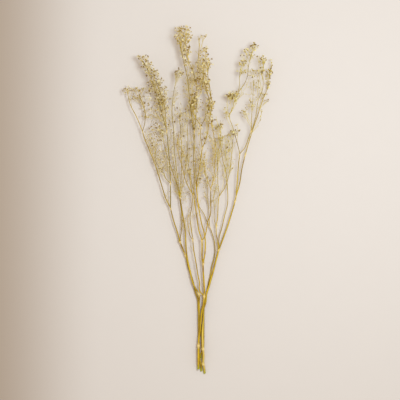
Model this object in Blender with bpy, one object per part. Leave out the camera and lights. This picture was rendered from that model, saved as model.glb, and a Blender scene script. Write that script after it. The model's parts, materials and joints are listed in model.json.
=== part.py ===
"""A loose bunch of dried baby's breath: five cut sprays lying together on a flat surface.

The scene is in metres with +Z up, and every size below is in millimetres. The florets point to +Y, the
origin is on the surface under the middle of the bunch, and each spray is one solid: its stem, branches,
twigs and florets are fused, because they grew as one piece.
"""

import cmath
import math
import random
from dataclasses import dataclass, field

import bmesh
import bpy
import numpy as np
from mathutils import Vector

MILLIMETRE = 0.001

# Stems
STEM_SIDES = 6
BRANCH_SIDES = 4
THICK_STEM = 1.2            # a stem with a root radius over this one gets STEM_SIDES
ROUTE_STEP = 1.0            # distance between the places read along a route
RING_SPACING = 14.0         # distance between the rings of a stem's mesh
SWELLING = 0.35             # how much thicker a stem is where it forks, as a share of its radius
SWELLING_LENGTH = 2.0
ROOT_DEPTH = 1.2            # how far a root is sunk, as a share of its radius
TIP_SHARE = 0.5             # radius of a stem's blunt tip, as a share of its last radius

# Twigs and florets
TWIG_SIDES = 3
TWIG_RADIUS = 0.42
START_LENGTH = 0.5          # straight stretch at a stem's root
BUD_LENGTH = 1.6            # how far a group's twig stands out of its stem before it turns
LEAN = 0.5                  # how much it leans along the stem there
JOINT_LENGTH = 0.9          # stretch of a twig whose sides carry its side twigs
FLORET_RADIUS = 2.0         # at the rim of the bell
LOWEST_FLORET = 1.4         # height of the middle of a floret that lies on the surface
NECK_TO_MIDDLE = 1.9        # from the floret's neck to its middle
RIM_AHEAD = 0.7             # from its middle to its rim
CROWN_AHEAD = 1.7           # from its middle to the top of its crown
FLORETS_PER_FORK = 4
GROUP_SIZE = 12             # florets that share one twig of the stem
REACH = 16.0                # how far back along its stem a group's twig starts
FORK_SHARE = 0.45           # how far towards its florets a twig forks
SHORTEST_TWIG = 5.0

DRY_ROUGHNESS = 0.75

# Laying the sprays on each other
CLEARANCE = 0.35            # air between two sprays
LIFT_LENGTH = 9.0           # over which a stem climbs on to the one it crosses
ROOT_LENGTH = 5.0           # stretch at a fork that stays on the parent stem
ROOT_FREE = 1.7             # near its root a twig may touch its own spray
SPREAD = 0.5                # how squarely a twig leaves the face that it grows from
TURN_OUT = (0.6, 1.2)       # how strongly a twig that would leave too flat is turned outwards
PLACES_TRIED = 30           # tries to find a twig a clear place
NUDGE = 5.0                 # furthest that it moves


@dataclass
class Stem:
    """A stem or branch, with its route seen from above and how it tapers and rises."""

    name: str
    route: list             # (x, y) from root to tip
    radius: tuple           # at the root and at the tip
    height: float           # of the tip's centre line above the surface
    parent: str = ""        # the stem it grows from


@dataclass
class Head:
    """A cloud of florets round a stem."""

    stem: str
    middle: tuple           # (x, y)
    half: tuple             # half its size along x, y and z
    count: int


@dataclass
class Spray:
    """One cut spray: its stems, its heads and its colour."""

    name: str
    seed: int
    colour: tuple
    stems: list
    heads: list
    paths: dict = field(default_factory=dict)


LEFT = Spray(
    "spray_left", 11, (0.52, 0.42, 0.20, 1.0),
    stems=[
        Stem("foot", [(3.4, -254), (3.2, -250), (5.6, -243), (5.6, -238), (3.5, -200), (0, -176),
                      (-1.3, -157), (-4.2, -149), (-9.6, -127), (-15.7, -109), (-20.8, -88),
                      (-24.8, -78.6), (-29.8, -65.6)], (1.5, 1.15), 7),
        Stem("arm", [(-29.8, -65.6), (-32.8, -54), (-38.6, -36), (-43.5, -18), (-44.8, -11.5)],
             (1.05, 0.9), 10, "foot"),
        Stem("reach", [(-44.8, -11.5), (-51.7, 2), (-60, 28), (-71, 62), (-82, 89), (-88, 105),
                       (-89.4, 111)], (0.85, 0.7), 14, "arm"),
        Stem("far_tip", [(-89.4, 111), (-100.6, 137), (-108, 151), (-114, 174)], (0.65, 0.5), 12,
             "reach"),
        Stem("far_side", [(-89.4, 111), (-86, 124), (-86, 145), (-95, 168)], (0.55, 0.45), 10, "reach"),
        Stem("rise", [(-44.8, -11.5), (-44.6, 2), (-45, 28), (-45.6, 49), (-47, 70), (-48.6, 89),
                      (-50.6, 110), (-58, 137), (-64.6, 161), (-72.6, 185), (-80, 207), (-88, 222)],
             (0.8, 0.45), 24, "arm"),
        Stem("second_rise", [(-50.6, 110), (-52, 125), (-54, 150), (-61, 172), (-68, 190)],
             (0.55, 0.45), 24, "rise"),
        Stem("side", [(-45, 28), (-50.6, 33), (-56.8, 45), (-69, 64), (-68, 84)], (0.5, 0.42), 14,
             "rise"),
        Stem("inner", [(-29.8, -65.6), (-27.5, -50), (-26.7, -38), (-26.7, -25), (-29, -5), (-33, 20),
                       (-38, 50), (-43, 80)], (0.7, 0.42), 14, "foot"),
    ],
    heads=[
        Head("far_tip", (-113, 178), (7, 7, 14), 10),
        Head("far_side", (-98, 177), (9, 7, 14), 8),
        Head("rise", (-90, 226), (9, 5, 9), 7),
        Head("rise", (-84.5, 215), (11, 6, 12), 10),
        Head("rise", (-75, 204), (11, 6, 13), 10),
        Head("second_rise", (-72, 187), (10, 11, 14), 18),
        Head("second_rise", (-61, 173), (10, 6, 10), 8),
        Head("side", (-69, 88), (6, 8, 5), 6),
        Head("rise", (-67, 114), (5, 5, 5), 4),
        Head("side", (-55, 46), (4, 4, 4), 3),
        Head("rise", (-54, 140), (12, 18, 10), 8),
        Head("inner", (-38, 80), (12, 30, 9), 9),
    ],
)

INNER = Spray(
    "spray_inner", 12, (0.42, 0.33, 0.13, 1.0),
    stems=[
        Stem("foot", [(6.1, -257), (8, -235), (8.5, -205), (10, -164), (13, -150), (15.5, -137),
                      (19.5, -119), (22, -104), (25, -93.6), (26.7, -83.7), (25.3, -65), (22, -53),
                      (18, -42), (13.8, -34), (9, -22), (2.6, -12), (0, -7)], (1.45, 0.8), 7),
        Stem("lean", [(0, -7), (-6, 10), (-12, 35), (-17, 65), (-19, 95)], (0.55, 0.42), 12, "foot"),
        Stem("rise", [(0, -7), (-3, 15), (-4, 45), (-6, 80), (-9, 115), (-11, 146)], (0.65, 0.45), 14,
             "foot"),
        Stem("side", [(18, -42), (17, -20), (15, 5), (14, 26)], (0.5, 0.42), 9, "foot"),
    ],
    heads=[
        Head("lean", (-18, 75), (8, 25, 8), 8),
        Head("rise", (-9, 138), (6, 20, 9), 12),
        Head("side", (13.8, 33), (5, 5, 5), 4),
        Head("lean", (-14, 47), (3, 3, 3), 3),
        Head("rise", (3.4, 32), (3, 6, 4), 4),
    ],
)

MID_LEFT = Spray(
    "spray_mid_left", 13, (0.58, 0.47, 0.22, 1.0),
    stems=[
        Stem("foot", [(4.8, -274.4), (4, -266), (3.2, -260), (1.9, -256), (1, -239), (0.8, -212),
                      (0.8, -191), (1.1, -164), (0.8, -150), (-6, -139), (-13.4, -113), (-19.2, -84),
                      (-20.8, -55), (-22, -42), (-25.3, -22), (-28.8, 1), (-29.4, 5.6)],
             (1.75, 0.95), 12),
        Stem("outer_fan", [(-29.4, 5.6), (-36, 30), (-46, 60), (-55, 90), (-58, 114)], (0.55, 0.42), 15,
             "foot"),
        Stem("long_fan", [(-29.4, 5.6), (-33, 35), (-38, 75), (-40, 116), (-42, 141), (-39, 175),
                          (-34, 200)], (0.65, 0.45), 22, "foot"),
        Stem("middle_fan", [(-29.4, 5.6), (-28, 35), (-27, 70), (-28, 105), (-31, 138)], (0.6, 0.42),
             17, "foot"),
        Stem("inner_fan", [(-29.4, 5.6), (-24, 30), (-20, 60), (-17, 95), (-18, 122)], (0.5, 0.42), 17,
             "foot"),
    ],
    heads=[
        Head("outer_fan", (-58, 108), (10, 18, 8), 9),
        Head("long_fan", (-33.5, 203), (8, 8, 9), 13),
        Head("long_fan", (-42, 135), (9, 25, 10), 9),
        Head("middle_fan", (-29, 122), (9, 25, 10), 9),
        Head("inner_fan", (-20, 100), (8, 25, 8), 8),
    ],
)

RIGHT = Spray(
    "spray_right", 14, (0.60, 0.50, 0.24, 1.0),
    stems=[
        Stem("foot", [(10.1, -278), (9.3, -270), (7.7, -262), (8.2, -250), (6.6, -231), (6.9, -204),
                      (8.2, -188), (8.2, -175), (11.4, -164), (13, -150), (16.5, -139),
                      (20.6, -124.5), (24.2, -112), (27.2, -100), (30.2, -89), (32.8, -78.6)],
             (1.8, 1.3), 8),
        Stem("main", [(32.8, -78.6), (40.8, -58), (47.5, -39), (52.6, -22), (58.2, -3), (60.6, 7.7)],
             (1.15, 0.9), 13, "foot"),
        Stem("inner", [(32.8, -78.6), (30.2, -63), (28.8, -55), (28.6, -42), (30.4, -30), (31.2, -17),
                       (32.2, 1), (33.6, 7.7)], (0.8, 0.65), 13, "foot"),
        Stem("inner_left", [(33.6, 7.7), (31.5, 23), (31, 49), (30.6, 70), (33, 84), (36, 100),
                            (33, 116)], (0.55, 0.42), 18, "inner"),
        Stem("inner_right", [(33.6, 7.7), (42, 20), (49, 42), (53, 70), (55, 98)], (0.5, 0.42), 16,
             "inner"),
        Stem("inner_side", [(28.6, -42), (25.8, -33), (25.4, -12), (24.5, 1), (27, 20)], (0.5, 0.42), 14,
             "inner"),
        Stem("second", [(32.8, -78.6), (33.1, -60.5), (37.3, -45), (41.9, -25), (46.4, -7), (45.4, 30),
                        (44.3, 44), (39.2, 64), (35, 92)], (0.75, 0.42), 16, "foot"),
        Stem("fork_left", [(60.6, 7.7), (62.7, 38), (64.3, 59), (66.2, 75)], (0.8, 0.65), 18, "main"),
        Stem("elbow", [(66.2, 75), (62.7, 89), (57.6, 108), (54.6, 118), (49.5, 135), (54.5, 147),
                       (58.6, 161), (65, 174.5), (72, 184), (78, 198), (80, 215), (85, 238)],
             (0.55, 0.45), 26, "fork_left"),
        Stem("climb", [(66.2, 75), (71.8, 81), (82, 105), (88, 120), (91.5, 135), (95.8, 161),
                       (102, 176), (103, 204), (104, 220)], (0.6, 0.45), 26, "fork_left"),
        Stem("thin_climb", [(84.5, 110), (85, 135), (87, 165), (88, 192)], (0.5, 0.42), 22, "climb"),
        Stem("outer", [(60.6, 7.7), (66, 27), (69.5, 50), (75, 73), (85, 107), (94.5, 135),
                       (104, 163), (112, 184), (114, 202), (118, 216)], (0.75, 0.45), 11, "main"),
    ],
    heads=[
        Head("elbow", (87, 246), (4, 6, 8), 7),
        Head("elbow", (79, 237), (4, 4, 7), 5),
        Head("elbow", (70, 230), (2, 4, 6), 2),
        Head("elbow", (71, 217), (5, 4, 7), 5),
        Head("elbow", (68, 205), (6, 4, 7), 4),
        Head("climb", (103, 225), (6, 8, 10), 8),
        Head("climb", (100, 206), (6, 6, 10), 7),
        Head("thin_climb", (87, 201), (5, 5, 8), 5),
        Head("outer", (116.5, 220), (2, 4, 6), 2),
        Head("outer", (112, 204), (4, 6, 14), 7),
        Head("outer", (111, 190), (4, 8, 14), 7),
        Head("outer", (99, 171), (5, 5, 6), 4),
        Head("elbow", (58, 163), (7, 8, 9), 11),
        Head("thin_climb", (75, 139), (4, 8, 6), 5),
        Head("inner_left", (31, 119), (8, 5, 6), 8),
        Head("second", (34, 100), (5, 4, 5), 5),
        Head("inner_right", (54, 106), (6, 7, 7), 7),
        Head("inner_right", (47, 78), (8, 14, 6), 4),
    ],
)

CENTRE = Spray(
    "spray_centre", 16, (0.56, 0.43, 0.17, 1.0),
    stems=[
        Stem("foot", [(0, -271), (0, -252), (0.2, -233), (1.6, -212), (2.9, -199), (4, -191),
                      (5.6, -177), (8.5, -164), (9.3, -153), (9.6, -145), (8.8, -130), (7.5, -109),
                      (7.5, -100.5)], (1.8, 1.25), 12),
        Stem("left", [(9.3, -153), (4.8, -149), (1.6, -143), (1.8, -132), (-0.3, -122), (-4, -99),
                      (-8, -75.5), (-9, -63), (-11.5, -45), (-13.3, -24), (-10.9, -12), (-9.4, 1),
                      (-12, 22), (-15, 44)], (1.0, 0.45), 17, "foot"),
        Stem("left_side", [(-9, -63), (-13.5, -56), (-15.5, -45), (-17, -34), (-16, -22)],
             (0.5, 0.42), 15, "left"),
        Stem("first", [(7.5, -100.5), (5.8, -91), (5.8, -79), (5.4, -64), (0.8, -48), (-2.7, -25),
                       (-6.4, 1), (-7.8, 10)], (0.95, 0.75), 18, "foot"),
        Stem("first_left", [(-7.8, 10), (-12, 15), (-20, 31), (-26, 54), (-32, 75), (-34.5, 88),
                            (-31, 106)], (0.55, 0.42), 20, "first"),
        Stem("first_rise", [(-7.8, 10), (-6.7, 38), (-7.7, 67), (-6, 110), (-3, 146), (-3.3, 183),
                            (-9.3, 207), (-13.4, 217), (-20.3, 231), (-23, 250)], (0.75, 0.45), 32,
             "first"),
        Stem("first_second", [(-6, 110), (-11, 135), (-14.5, 165), (-17, 193), (-21, 210),
                              (-26, 232), (-30, 252)], (0.55, 0.45), 28, "first_rise"),
        Stem("second", [(7.5, -100.5), (10.4, -84), (10.6, -60), (9.4, -52), (6.4, -42), (1.8, -20),
                        (-1.3, 1), (-2.5, 28), (1.5, 50), (4, 69), (6.1, 85)], (0.9, 0.65), 21,
             "foot"),
        Stem("second_left", [(6.1, 85), (3, 106), (3.5, 118), (-4, 131), (-11, 144), (-11, 160)],
             (0.55, 0.42), 27, "second"),
        Stem("second_cross", [(3.5, 118), (9.5, 129), (14.7, 142), (17, 157), (12, 178), (8, 196),
                              (8, 210)], (0.5, 0.42), 33, "second_left"),
        Stem("second_right", [(6.1, 85), (10.3, 93), (14.7, 108), (16, 120), (20, 140), (21, 155),
                              (18, 180), (15, 200), (18, 220)], (0.6, 0.45), 34, "second"),
        Stem("third", [(5.4, -64), (8.5, -60.5), (13.6, -42), (15.5, -32), (18.9, -24), (19.8, -13),
                       (19.2, 1), (19.8, 19)], (0.75, 0.6), 18, "first"),
        Stem("third_left", [(19.8, 19), (15, 30), (10, 44), (9, 62)], (0.5, 0.42), 21, "third"),
        Stem("third_right", [(19.8, 19), (25, 42), (26, 56), (27, 89), (23, 112), (20, 128)],
             (0.5, 0.42), 25, "third"),
        Stem("far_thread", [(-3.3, 183), (-1, 215), (0.6, 236), (2, 250)], (0.5, 0.42), 30,
             "first_rise"),
    ],
    heads=[
        Head("first_rise", (-19, 258), (9, 18, 15), 22),
        Head("first_second", (-31, 260), (8, 17, 14), 18),
        Head("first_rise", (-17, 235), (4, 6, 8), 4),
        Head("far_thread", (4, 256), (6, 8, 6), 5),
        Head("second_right", (16, 219), (8, 13, 13), 16),
        Head("second_cross", (8, 213), (6, 12, 12), 12),
        Head("second_cross", (7, 190), (7, 15, 13), 20),
        Head("second_right", (15, 186), (7, 16, 13), 20),
        Head("second_left", (-9, 157), (6, 16, 11), 14),
        Head("first_rise", (-2, 165), (6, 22, 12), 10),
        Head("second_right", (19, 152), (6, 18, 12), 14),
        Head("second_cross", (12, 148), (6, 12, 8), 6),
        Head("third_right", (21, 126), (5, 12, 8), 7),
        Head("first_left", (-32, 98), (6, 10, 7), 5),
        Head("third_left", (7, 66), (5, 8, 5), 4),
        Head("second", (0, 116), (6, 5, 6), 4),
        Head("left", (-13, 46), (5, 6, 5), 4),
        Head("left_side", (-16, -18), (3, 5, 4), 2),
    ],
)

SPRAYS = [LEFT, INNER, MID_LEFT, RIGHT, CENTRE]     # in the order in which they were laid down


def unit(vector):
    """The vector at length 1."""
    return vector / np.linalg.norm(vector)


def smooth_route(points):
    """Places about ROUTE_STEP apart on the smooth curve that passes through the points."""
    points = np.array(points, dtype=float)
    legs = np.linalg.norm(np.diff(points, axis=0), axis=1)
    at = np.concatenate(([0.0], np.cumsum(legs)))
    slopes = np.gradient(points, at, axis=0)
    along = np.linspace(0.0, at[-1], max(2, round(at[-1] / ROUTE_STEP) + 1))
    leg = np.clip(np.searchsorted(at, along, side="right") - 1, 0, len(legs) - 1)
    share = ((along - at[leg]) / legs[leg])[:, None]
    length = legs[leg][:, None]
    return ((1 + 2 * share) * (1 - share) ** 2 * points[leg]
            + share * (1 - share) ** 2 * length * slopes[leg]
            + share ** 2 * (3 - 2 * share) * points[leg + 1]
            + share ** 2 * (share - 1) * length * slopes[leg + 1])


def lift_over(flat, heights, radii, laid):
    """How much each place of a stem must rise to lie on the stems of other sprays that it crosses."""
    if not len(laid):
        return np.zeros(len(flat))
    away = np.linalg.norm(flat[:, None, :] - laid[None, :, :2], axis=2)
    touch = radii[:, None] + laid[None, :, 3] + CLEARANCE
    over = laid[None, :, 2] + np.sqrt(np.maximum(touch ** 2 - away ** 2, 0.0)) - heights[:, None]
    missing = np.maximum(np.where(away < touch, over, 0.0).max(axis=1), 0.0)
    half = round(LIFT_LENGTH / ROUTE_STEP)
    padded = np.pad(missing, half, mode="edge")
    widest = np.lib.stride_tricks.sliding_window_view(padded, 2 * half + 1).max(axis=1)
    padded = np.pad(widest, half, mode="edge")
    return np.lib.stride_tricks.sliding_window_view(padded, 2 * half + 1).mean(axis=1)


def fork_places(spray, stem, flat):
    """Which places of a stem its side branches grow from."""
    roots = [np.array(child.route[0]) for child in spray.stems if child.parent == stem.name]
    return [int(np.linalg.norm(flat - root, axis=1).argmin()) for root in roots]


def stem_radii(stem, forks, count):
    """The radius at each place of a stem: tapered, and swollen at its forks."""
    radii = np.linspace(stem.radius[0], stem.radius[1], count)
    swelling = np.zeros(count)
    for fork in forks:
        away = np.abs(np.arange(count) - fork) * ROUTE_STEP
        swelling = np.maximum(swelling, 1.0 - away / SWELLING_LENGTH)
    return radii * (1.0 + SWELLING * swelling)


def lay_stem(spray, stem, laid):
    """Places, as (x, y, z, radius) rows, of a stem that lies clear on top of what is laid already."""
    flat = smooth_route(stem.route)
    radii = stem_radii(stem, fork_places(spray, stem, flat), len(flat))
    root_height = stem.radius[0]
    if stem.parent:
        parent = spray.paths[stem.parent]
        nearest = np.linalg.norm(parent[:, :2] - flat[0], axis=1).argmin()
        root_height = parent[nearest, 2]
    heights = np.linspace(root_height, stem.height, len(flat))
    lift = lift_over(flat, heights, radii, laid)
    if stem.parent:
        lift *= np.clip(np.arange(len(flat)) * ROUTE_STEP / ROOT_LENGTH, 0.0, 1.0)
    return np.column_stack((flat, heights + lift, radii))


def lay_sprays():
    """Work out every stem's path, spray by spray."""
    laid = np.zeros((0, 4))
    for spray in SPRAYS:
        for stem in spray.stems:
            spray.paths[stem.name] = lay_stem(spray, stem, laid)
        laid = np.concatenate([laid] + list(spray.paths.values()))


def stem_rings(spray, stem):
    """The rings of a stem, as (x, y, z, radius) rows, its root sunk in its parent."""
    path = spray.paths[stem.name]
    last = len(path) - 1
    forks = fork_places(spray, stem, path[:, :2])
    reach = round(SWELLING_LENGTH / ROUTE_STEP)
    count = max(3, round(last * ROUTE_STEP / RING_SPACING) + 1)
    evenly = {int(ring) for ring in np.linspace(0, last, count).round()}
    chosen = {ring for ring in evenly if all(abs(ring - fork) > 2 * reach for fork in forks)} | {0, last}
    for fork in forks:
        chosen |= {max(fork - reach, 0), fork, min(fork + reach, last)}
    rings = path[sorted(chosen)].copy()
    if stem.parent:
        rings[0, :3] -= unit(path[1, :3] - path[0, :3]) * stem.radius[0] * ROOT_DEPTH
    tip_way = unit(path[-1, :3] - path[-2, :3])
    tip = np.append(path[-1, :3] + tip_way * rings[-1, 3], rings[-1, 3] * TIP_SHARE)
    return np.vstack((rings, tip))


def split_in_two(targets):
    """Part the targets into two halves across the longest side of the box that holds them."""
    spread = targets.max(axis=0) - targets.min(axis=0)
    order = np.argsort(targets[:, spread.argmax()])
    half = len(targets) // 2
    return [targets[order[:half]], targets[order[half:]]]


def groups_of(targets):
    """Part the targets into groups of at most GROUP_SIZE near each other."""
    if len(targets) <= GROUP_SIZE:
        return [targets]
    first, second = split_in_two(targets)
    return groups_of(first) + groups_of(second)


class Surroundings:
    """The stems, twigs and florets placed so far, and which spray each belongs to."""

    def __init__(self):
        self.starts = np.zeros((0, 3))
        self.ends = np.zeros((0, 3))
        self.radii = np.zeros(0)
        self.owners = np.zeros(0, dtype=int)

    def add(self, owner, places, radii):
        """Add the stretches between places, each as thick as its thicker end."""
        self.starts = np.concatenate((self.starts, places[:-1]))
        self.ends = np.concatenate((self.ends, places[1:]))
        self.radii = np.concatenate((self.radii, np.maximum(radii[:-1], radii[1:])))
        self.owners = np.concatenate((self.owners, np.full(len(places) - 1, owner)))

    def is_clear(self, owner, places, radii):
        """Whether a twig keeps clear of the other sprays and, past its root, of its own spray."""
        along = self.ends - self.starts
        length = (along ** 2).sum(axis=1)
        needed = self.radii + np.where(self.owners == owner, 0.0, CLEARANCE)
        for start, end, thick in zip(places[:-1], places[1:], np.maximum(radii[:-1], radii[1:])):
            steps = max(2, round(np.linalg.norm(end - start)) + 1)
            for share in np.linspace(0.0, 1.0, steps):
                probe = start + (end - start) * share
                place = np.clip(((probe - self.starts) * along).sum(axis=1) / length, 0.0, 1.0)
                gap = np.linalg.norm(probe - self.starts - along * place[:, None], axis=1)
                touching = gap < needed + thick
                if np.linalg.norm(probe - places[0]) < ROOT_FREE:
                    touching &= self.owners != owner
                if touching.any():
                    return False
        return True


class Growth:
    """A closed mesh that grows from its faces: a stem, or a twig that forks out to its florets."""

    def __init__(self, place, way, radius, sides, length):
        self.mesh = bmesh.new()
        across = Vector(way).orthogonal().normalized()
        other = Vector(way).cross(across)
        ring = []
        for corner in range(sides):
            turn = 2 * math.pi * corner / sides
            ring.append(Vector(place) + (math.cos(turn) * across + math.sin(turn) * other) * radius)
        root = [self.mesh.verts.new(spot) for spot in ring]
        ahead = [self.mesh.verts.new(spot + Vector(way) * length) for spot in ring]
        self.mesh.faces.new(list(reversed(root)))
        self.join(root, ahead)
        self.face = self.mesh.faces.new(ahead)

    def join(self, ring, ahead):
        """Close the wall between a ring and the one ahead of it, and give its faces back."""
        walls = []
        for corner in range(len(ring)):
            following = (corner + 1) % len(ring)
            walls.append(self.mesh.faces.new((ring[corner], ring[following], ahead[following],
                                              ahead[corner])))
        return walls

    def extend(self, face, place, way, radius):
        """Grow a face on to a round ring at the place, and give back the new end and its walls."""
        corners = list(face.verts)
        centre = face.calc_center_median()
        way = Vector(way)
        across = way.orthogonal().normalized()
        other = way.cross(across)
        turned = 0j
        for number, corner in enumerate(corners):
            offset = corner.co - centre
            flat = complex(offset.dot(across), offset.dot(other))
            turned += flat * cmath.exp(-2j * math.pi * number / len(corners))
        first = cmath.phase(turned)
        ring = []
        for number in range(len(corners)):
            turn = first + 2 * math.pi * number / len(corners)
            spot = Vector(place) + (math.cos(turn) * across + math.sin(turn) * other) * float(radius)
            ring.append(self.mesh.verts.new(spot))
        bmesh.ops.delete(self.mesh, geom=[face], context="FACES_ONLY")
        walls = self.join(corners, ring)
        for wall in walls:
            wall.normal_update()
        return self.mesh.faces.new(ring), walls

    def close_to_point(self, face, place):
        """Close a face into a point."""
        corners = list(face.verts)
        bmesh.ops.delete(self.mesh, geom=[face], context="FACES_ONLY")
        point = self.mesh.verts.new(place)
        for corner, following in zip(corners, corners[1:] + corners[:1]):
            self.mesh.faces.new((corner, following, point))

    def make_object(self, name, collection):
        """Turn the growth into an object, in metres, its lowest points pressed flat on the surface."""
        for corner in self.mesh.verts:
            corner.co.z = max(corner.co.z, 0.0)
            corner.co *= MILLIMETRE
        bmesh.ops.triangulate(self.mesh, faces=self.mesh.faces)
        data = bpy.data.meshes.new(name)
        self.mesh.to_mesh(data)
        self.mesh.free()
        made = bpy.data.objects.new(name, data)
        collection.objects.link(made)
        return made


def stem_growth(rings, sides):
    """The growth of a stem through its rings."""
    way = unit(rings[1, :3] - rings[0, :3])
    growth = Growth(rings[0, :3], way, rings[0, 3], sides, START_LENGTH)
    last = len(rings) - 1
    face = growth.face
    for number in range(1, len(rings)):
        way = unit(rings[min(number + 1, last), :3] - rings[number - 1, :3])
        face, _ = growth.extend(face, rings[number, :3], way, rings[number, 3])
    return growth


class Grower:
    """Grows a spray's twigs and florets and keeps them clear of what is there already."""

    def __init__(self, owner, spray, surroundings):
        self.owner = owner
        self.spray = spray
        self.surroundings = surroundings
        self.random = random.Random(spray.seed)
        self.growths = []
        self.florets = 0

    def find_place(self, root, normal, target, end_radius):
        """A clear place for the end of a twig, near the target and in front of its face, or None."""
        length = np.linalg.norm(target - root)
        for number in range(PLACES_TRIED):
            reach = NUDGE * number / PLACES_TRIED
            place = target + np.array([self.random.uniform(-reach, reach) for _ in range(3)])
            way = unit(place - root)
            if way.dot(normal) < SPREAD:
                way = unit(way + normal * self.random.uniform(*TURN_OUT))
            place = root + way * max(length, SHORTEST_TWIG)
            place[2] = max(place[2], LOWEST_FLORET)
            if unit(place - root).dot(normal) < SPREAD:
                continue
            neck = place - unit(place - root) * NECK_TO_MIDDLE
            places = np.array([root, neck, place])
            radii = np.array([TWIG_RADIUS, TWIG_RADIUS, end_radius])
            if self.surroundings.is_clear(self.owner, places, radii):
                self.surroundings.add(self.owner, places, radii)
                return place
        return None

    def grow_floret(self, growth, face, root, normal, target):
        """A twig that ends in a floret: a bell that opens from its neck and closes in a low dome."""
        place = self.find_place(root, normal, target, FLORET_RADIUS)
        if place is None:
            return
        way = unit(place - root)
        face, _ = growth.extend(face, place - way * NECK_TO_MIDDLE, way, TWIG_RADIUS)
        face, _ = growth.extend(face, place + way * RIM_AHEAD, way, FLORET_RADIUS)
        growth.close_to_point(face, place + way * CROWN_AHEAD)
        self.florets += 1

    def grow_twig(self, growth, face, root, normal, targets):
        """A twig from the root that forks until each of its ends carries one floret."""
        if len(targets) == 1:
            self.grow_floret(growth, face, root, normal, targets[0])
            return
        middle = root + (targets.mean(axis=0) - root) * FORK_SHARE
        fork = self.find_place(root, normal, middle, TWIG_RADIUS)
        if fork is None:
            return
        way = unit(fork - root)
        face, _ = growth.extend(face, fork, way, TWIG_RADIUS)
        ahead = fork + way * JOINT_LENGTH
        end, walls = growth.extend(face, ahead, way, TWIG_RADIUS)
        parts = split_in_two(targets) if len(targets) > FLORETS_PER_FORK else list(targets[:, None, :])
        parts.sort(key=lambda part: -float(np.dot(unit(part.mean(axis=0) - fork), way)))
        self.grow_twig(growth, end, ahead, way, parts[0])
        for part in parts[1:]:
            heading = Vector(unit(part.mean(axis=0) - fork))
            wall = max(walls, key=lambda candidate: candidate.normal.dot(heading))
            walls.remove(wall)
            middle = np.array(wall.calc_center_median())
            self.grow_twig(growth, wall, middle, np.array(wall.normal), part)

    def grow_head(self, head):
        """Scatter a head's florets in its cloud and join each group of them to the stem."""
        path = self.spray.paths[head.stem][:, :3]
        nearest = np.linalg.norm(path[:, :2] - np.array(head.middle), axis=1).argmin()
        middle = np.append(np.array(head.middle), path[nearest, 2])
        targets = []
        while len(targets) < head.count:
            spot = np.array([self.random.uniform(-1.0, 1.0) for _ in range(3)])
            if np.linalg.norm(spot) <= 1.0:
                target = middle + spot * np.array(head.half)
                target[2] = max(target[2], LOWEST_FLORET)
                targets.append(target)
        for group in groups_of(np.array(targets)):
            nearest = np.linalg.norm(path - group.mean(axis=0), axis=1).argmin()
            root = max(nearest - round(REACH / ROUTE_STEP), 1)
            heading = unit(path[root] - path[root - 1])
            outward = group.mean(axis=0) - path[root]
            outward = unit(outward - heading * outward.dot(heading))
            way = unit(outward + heading * LEAN)
            bud = Growth(path[root], way, TWIG_RADIUS, TWIG_SIDES, BUD_LENGTH)
            self.grow_twig(bud, bud.face, path[root] + way * BUD_LENGTH, way, group)
            self.growths.append(bud)


def spray_material(spray):
    """Dry straw colour, a little different on each spray."""
    material = bpy.data.materials.new(spray.name)
    material.use_nodes = True
    shader = material.node_tree.nodes["Principled BSDF"]
    shader.inputs["Base Color"].default_value = spray.colour
    shader.inputs["Roughness"].default_value = DRY_ROUGHNESS
    shader.inputs["Metallic"].default_value = 0.0
    return material


def keep_largest_piece(mesh):
    """Drop any scrap that the union left loose."""
    work = bmesh.new()
    work.from_mesh(mesh)
    unseen = set(work.verts)
    pieces = []
    while unseen:
        piece = set()
        frontier = [unseen.pop()]
        while frontier:
            vertex = frontier.pop()
            piece.add(vertex)
            for edge in vertex.link_edges:
                other = edge.other_vert(vertex)
                if other in unseen:
                    unseen.discard(other)
                    frontier.append(other)
        pieces.append(piece)
    pieces.sort(key=len)
    for piece in pieces[:-1]:
        bmesh.ops.delete(work, geom=list(piece), context="VERTS")
    work.to_mesh(mesh)
    work.free()


def build_spray(spray, growths):
    """Fuse the spray's stems and twigs into one solid."""
    scene_collection = bpy.context.scene.collection
    twigs = bpy.data.collections.new(spray.name + "_twigs")
    scene_collection.children.link(twigs)
    body = growths[0].make_object(spray.name, scene_collection)
    for number, growth in enumerate(growths[1:]):
        growth.make_object(f"{spray.name}_twig_{number}", twigs)
    union = body.modifiers.new("Growth", "BOOLEAN")
    union.operation = "UNION"
    union.operand_type = "COLLECTION"
    union.collection = twigs
    union.solver = "MANIFOLD"
    view = bpy.context.evaluated_depsgraph_get()
    fused = bpy.data.meshes.new_from_object(body.evaluated_get(view))
    body.modifiers.remove(union)
    body.data = fused
    for piece in list(twigs.objects):
        bpy.data.objects.remove(piece)
    bpy.data.collections.remove(twigs)
    keep_largest_piece(fused)
    fused.materials.clear()
    fused.materials.append(spray_material(spray))


def main():
    """Clear the scene, lay the sprays, grow their florets and build the five solids."""
    for old in list(bpy.data.objects):
        bpy.data.objects.remove(old)
    lay_sprays()
    surroundings = Surroundings()
    for owner, spray in enumerate(SPRAYS):
        for path in spray.paths.values():
            surroundings.add(owner, path[:, :3], path[:, 3])
    for owner, spray in enumerate(SPRAYS):
        grower = Grower(owner, spray, surroundings)
        for head in spray.heads:
            grower.grow_head(head)
        stems = []
        for stem in spray.stems:
            sides = STEM_SIDES if stem.radius[0] > THICK_STEM else BRANCH_SIDES
            stems.append(stem_growth(stem_rings(spray, stem), sides))
        build_spray(spray, stems + grower.growths)


main()
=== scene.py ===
"""A loose bunch of dried baby's breath: five cut sprays lying together on a pale surface.

Sizes in the tables are in millimetres. Seen from above, +Y runs along the stems to the flower heads, +X is
to the right, and +Z is up from the surface. Each spray is laid on the ones before it. Its stems, twigs,
bracts and florets are four pieces that stand for that spray's solid.
"""

import json
import logging
import math
import random
from collections.abc import Iterable
from dataclasses import dataclass, field
from enum import Enum

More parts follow.
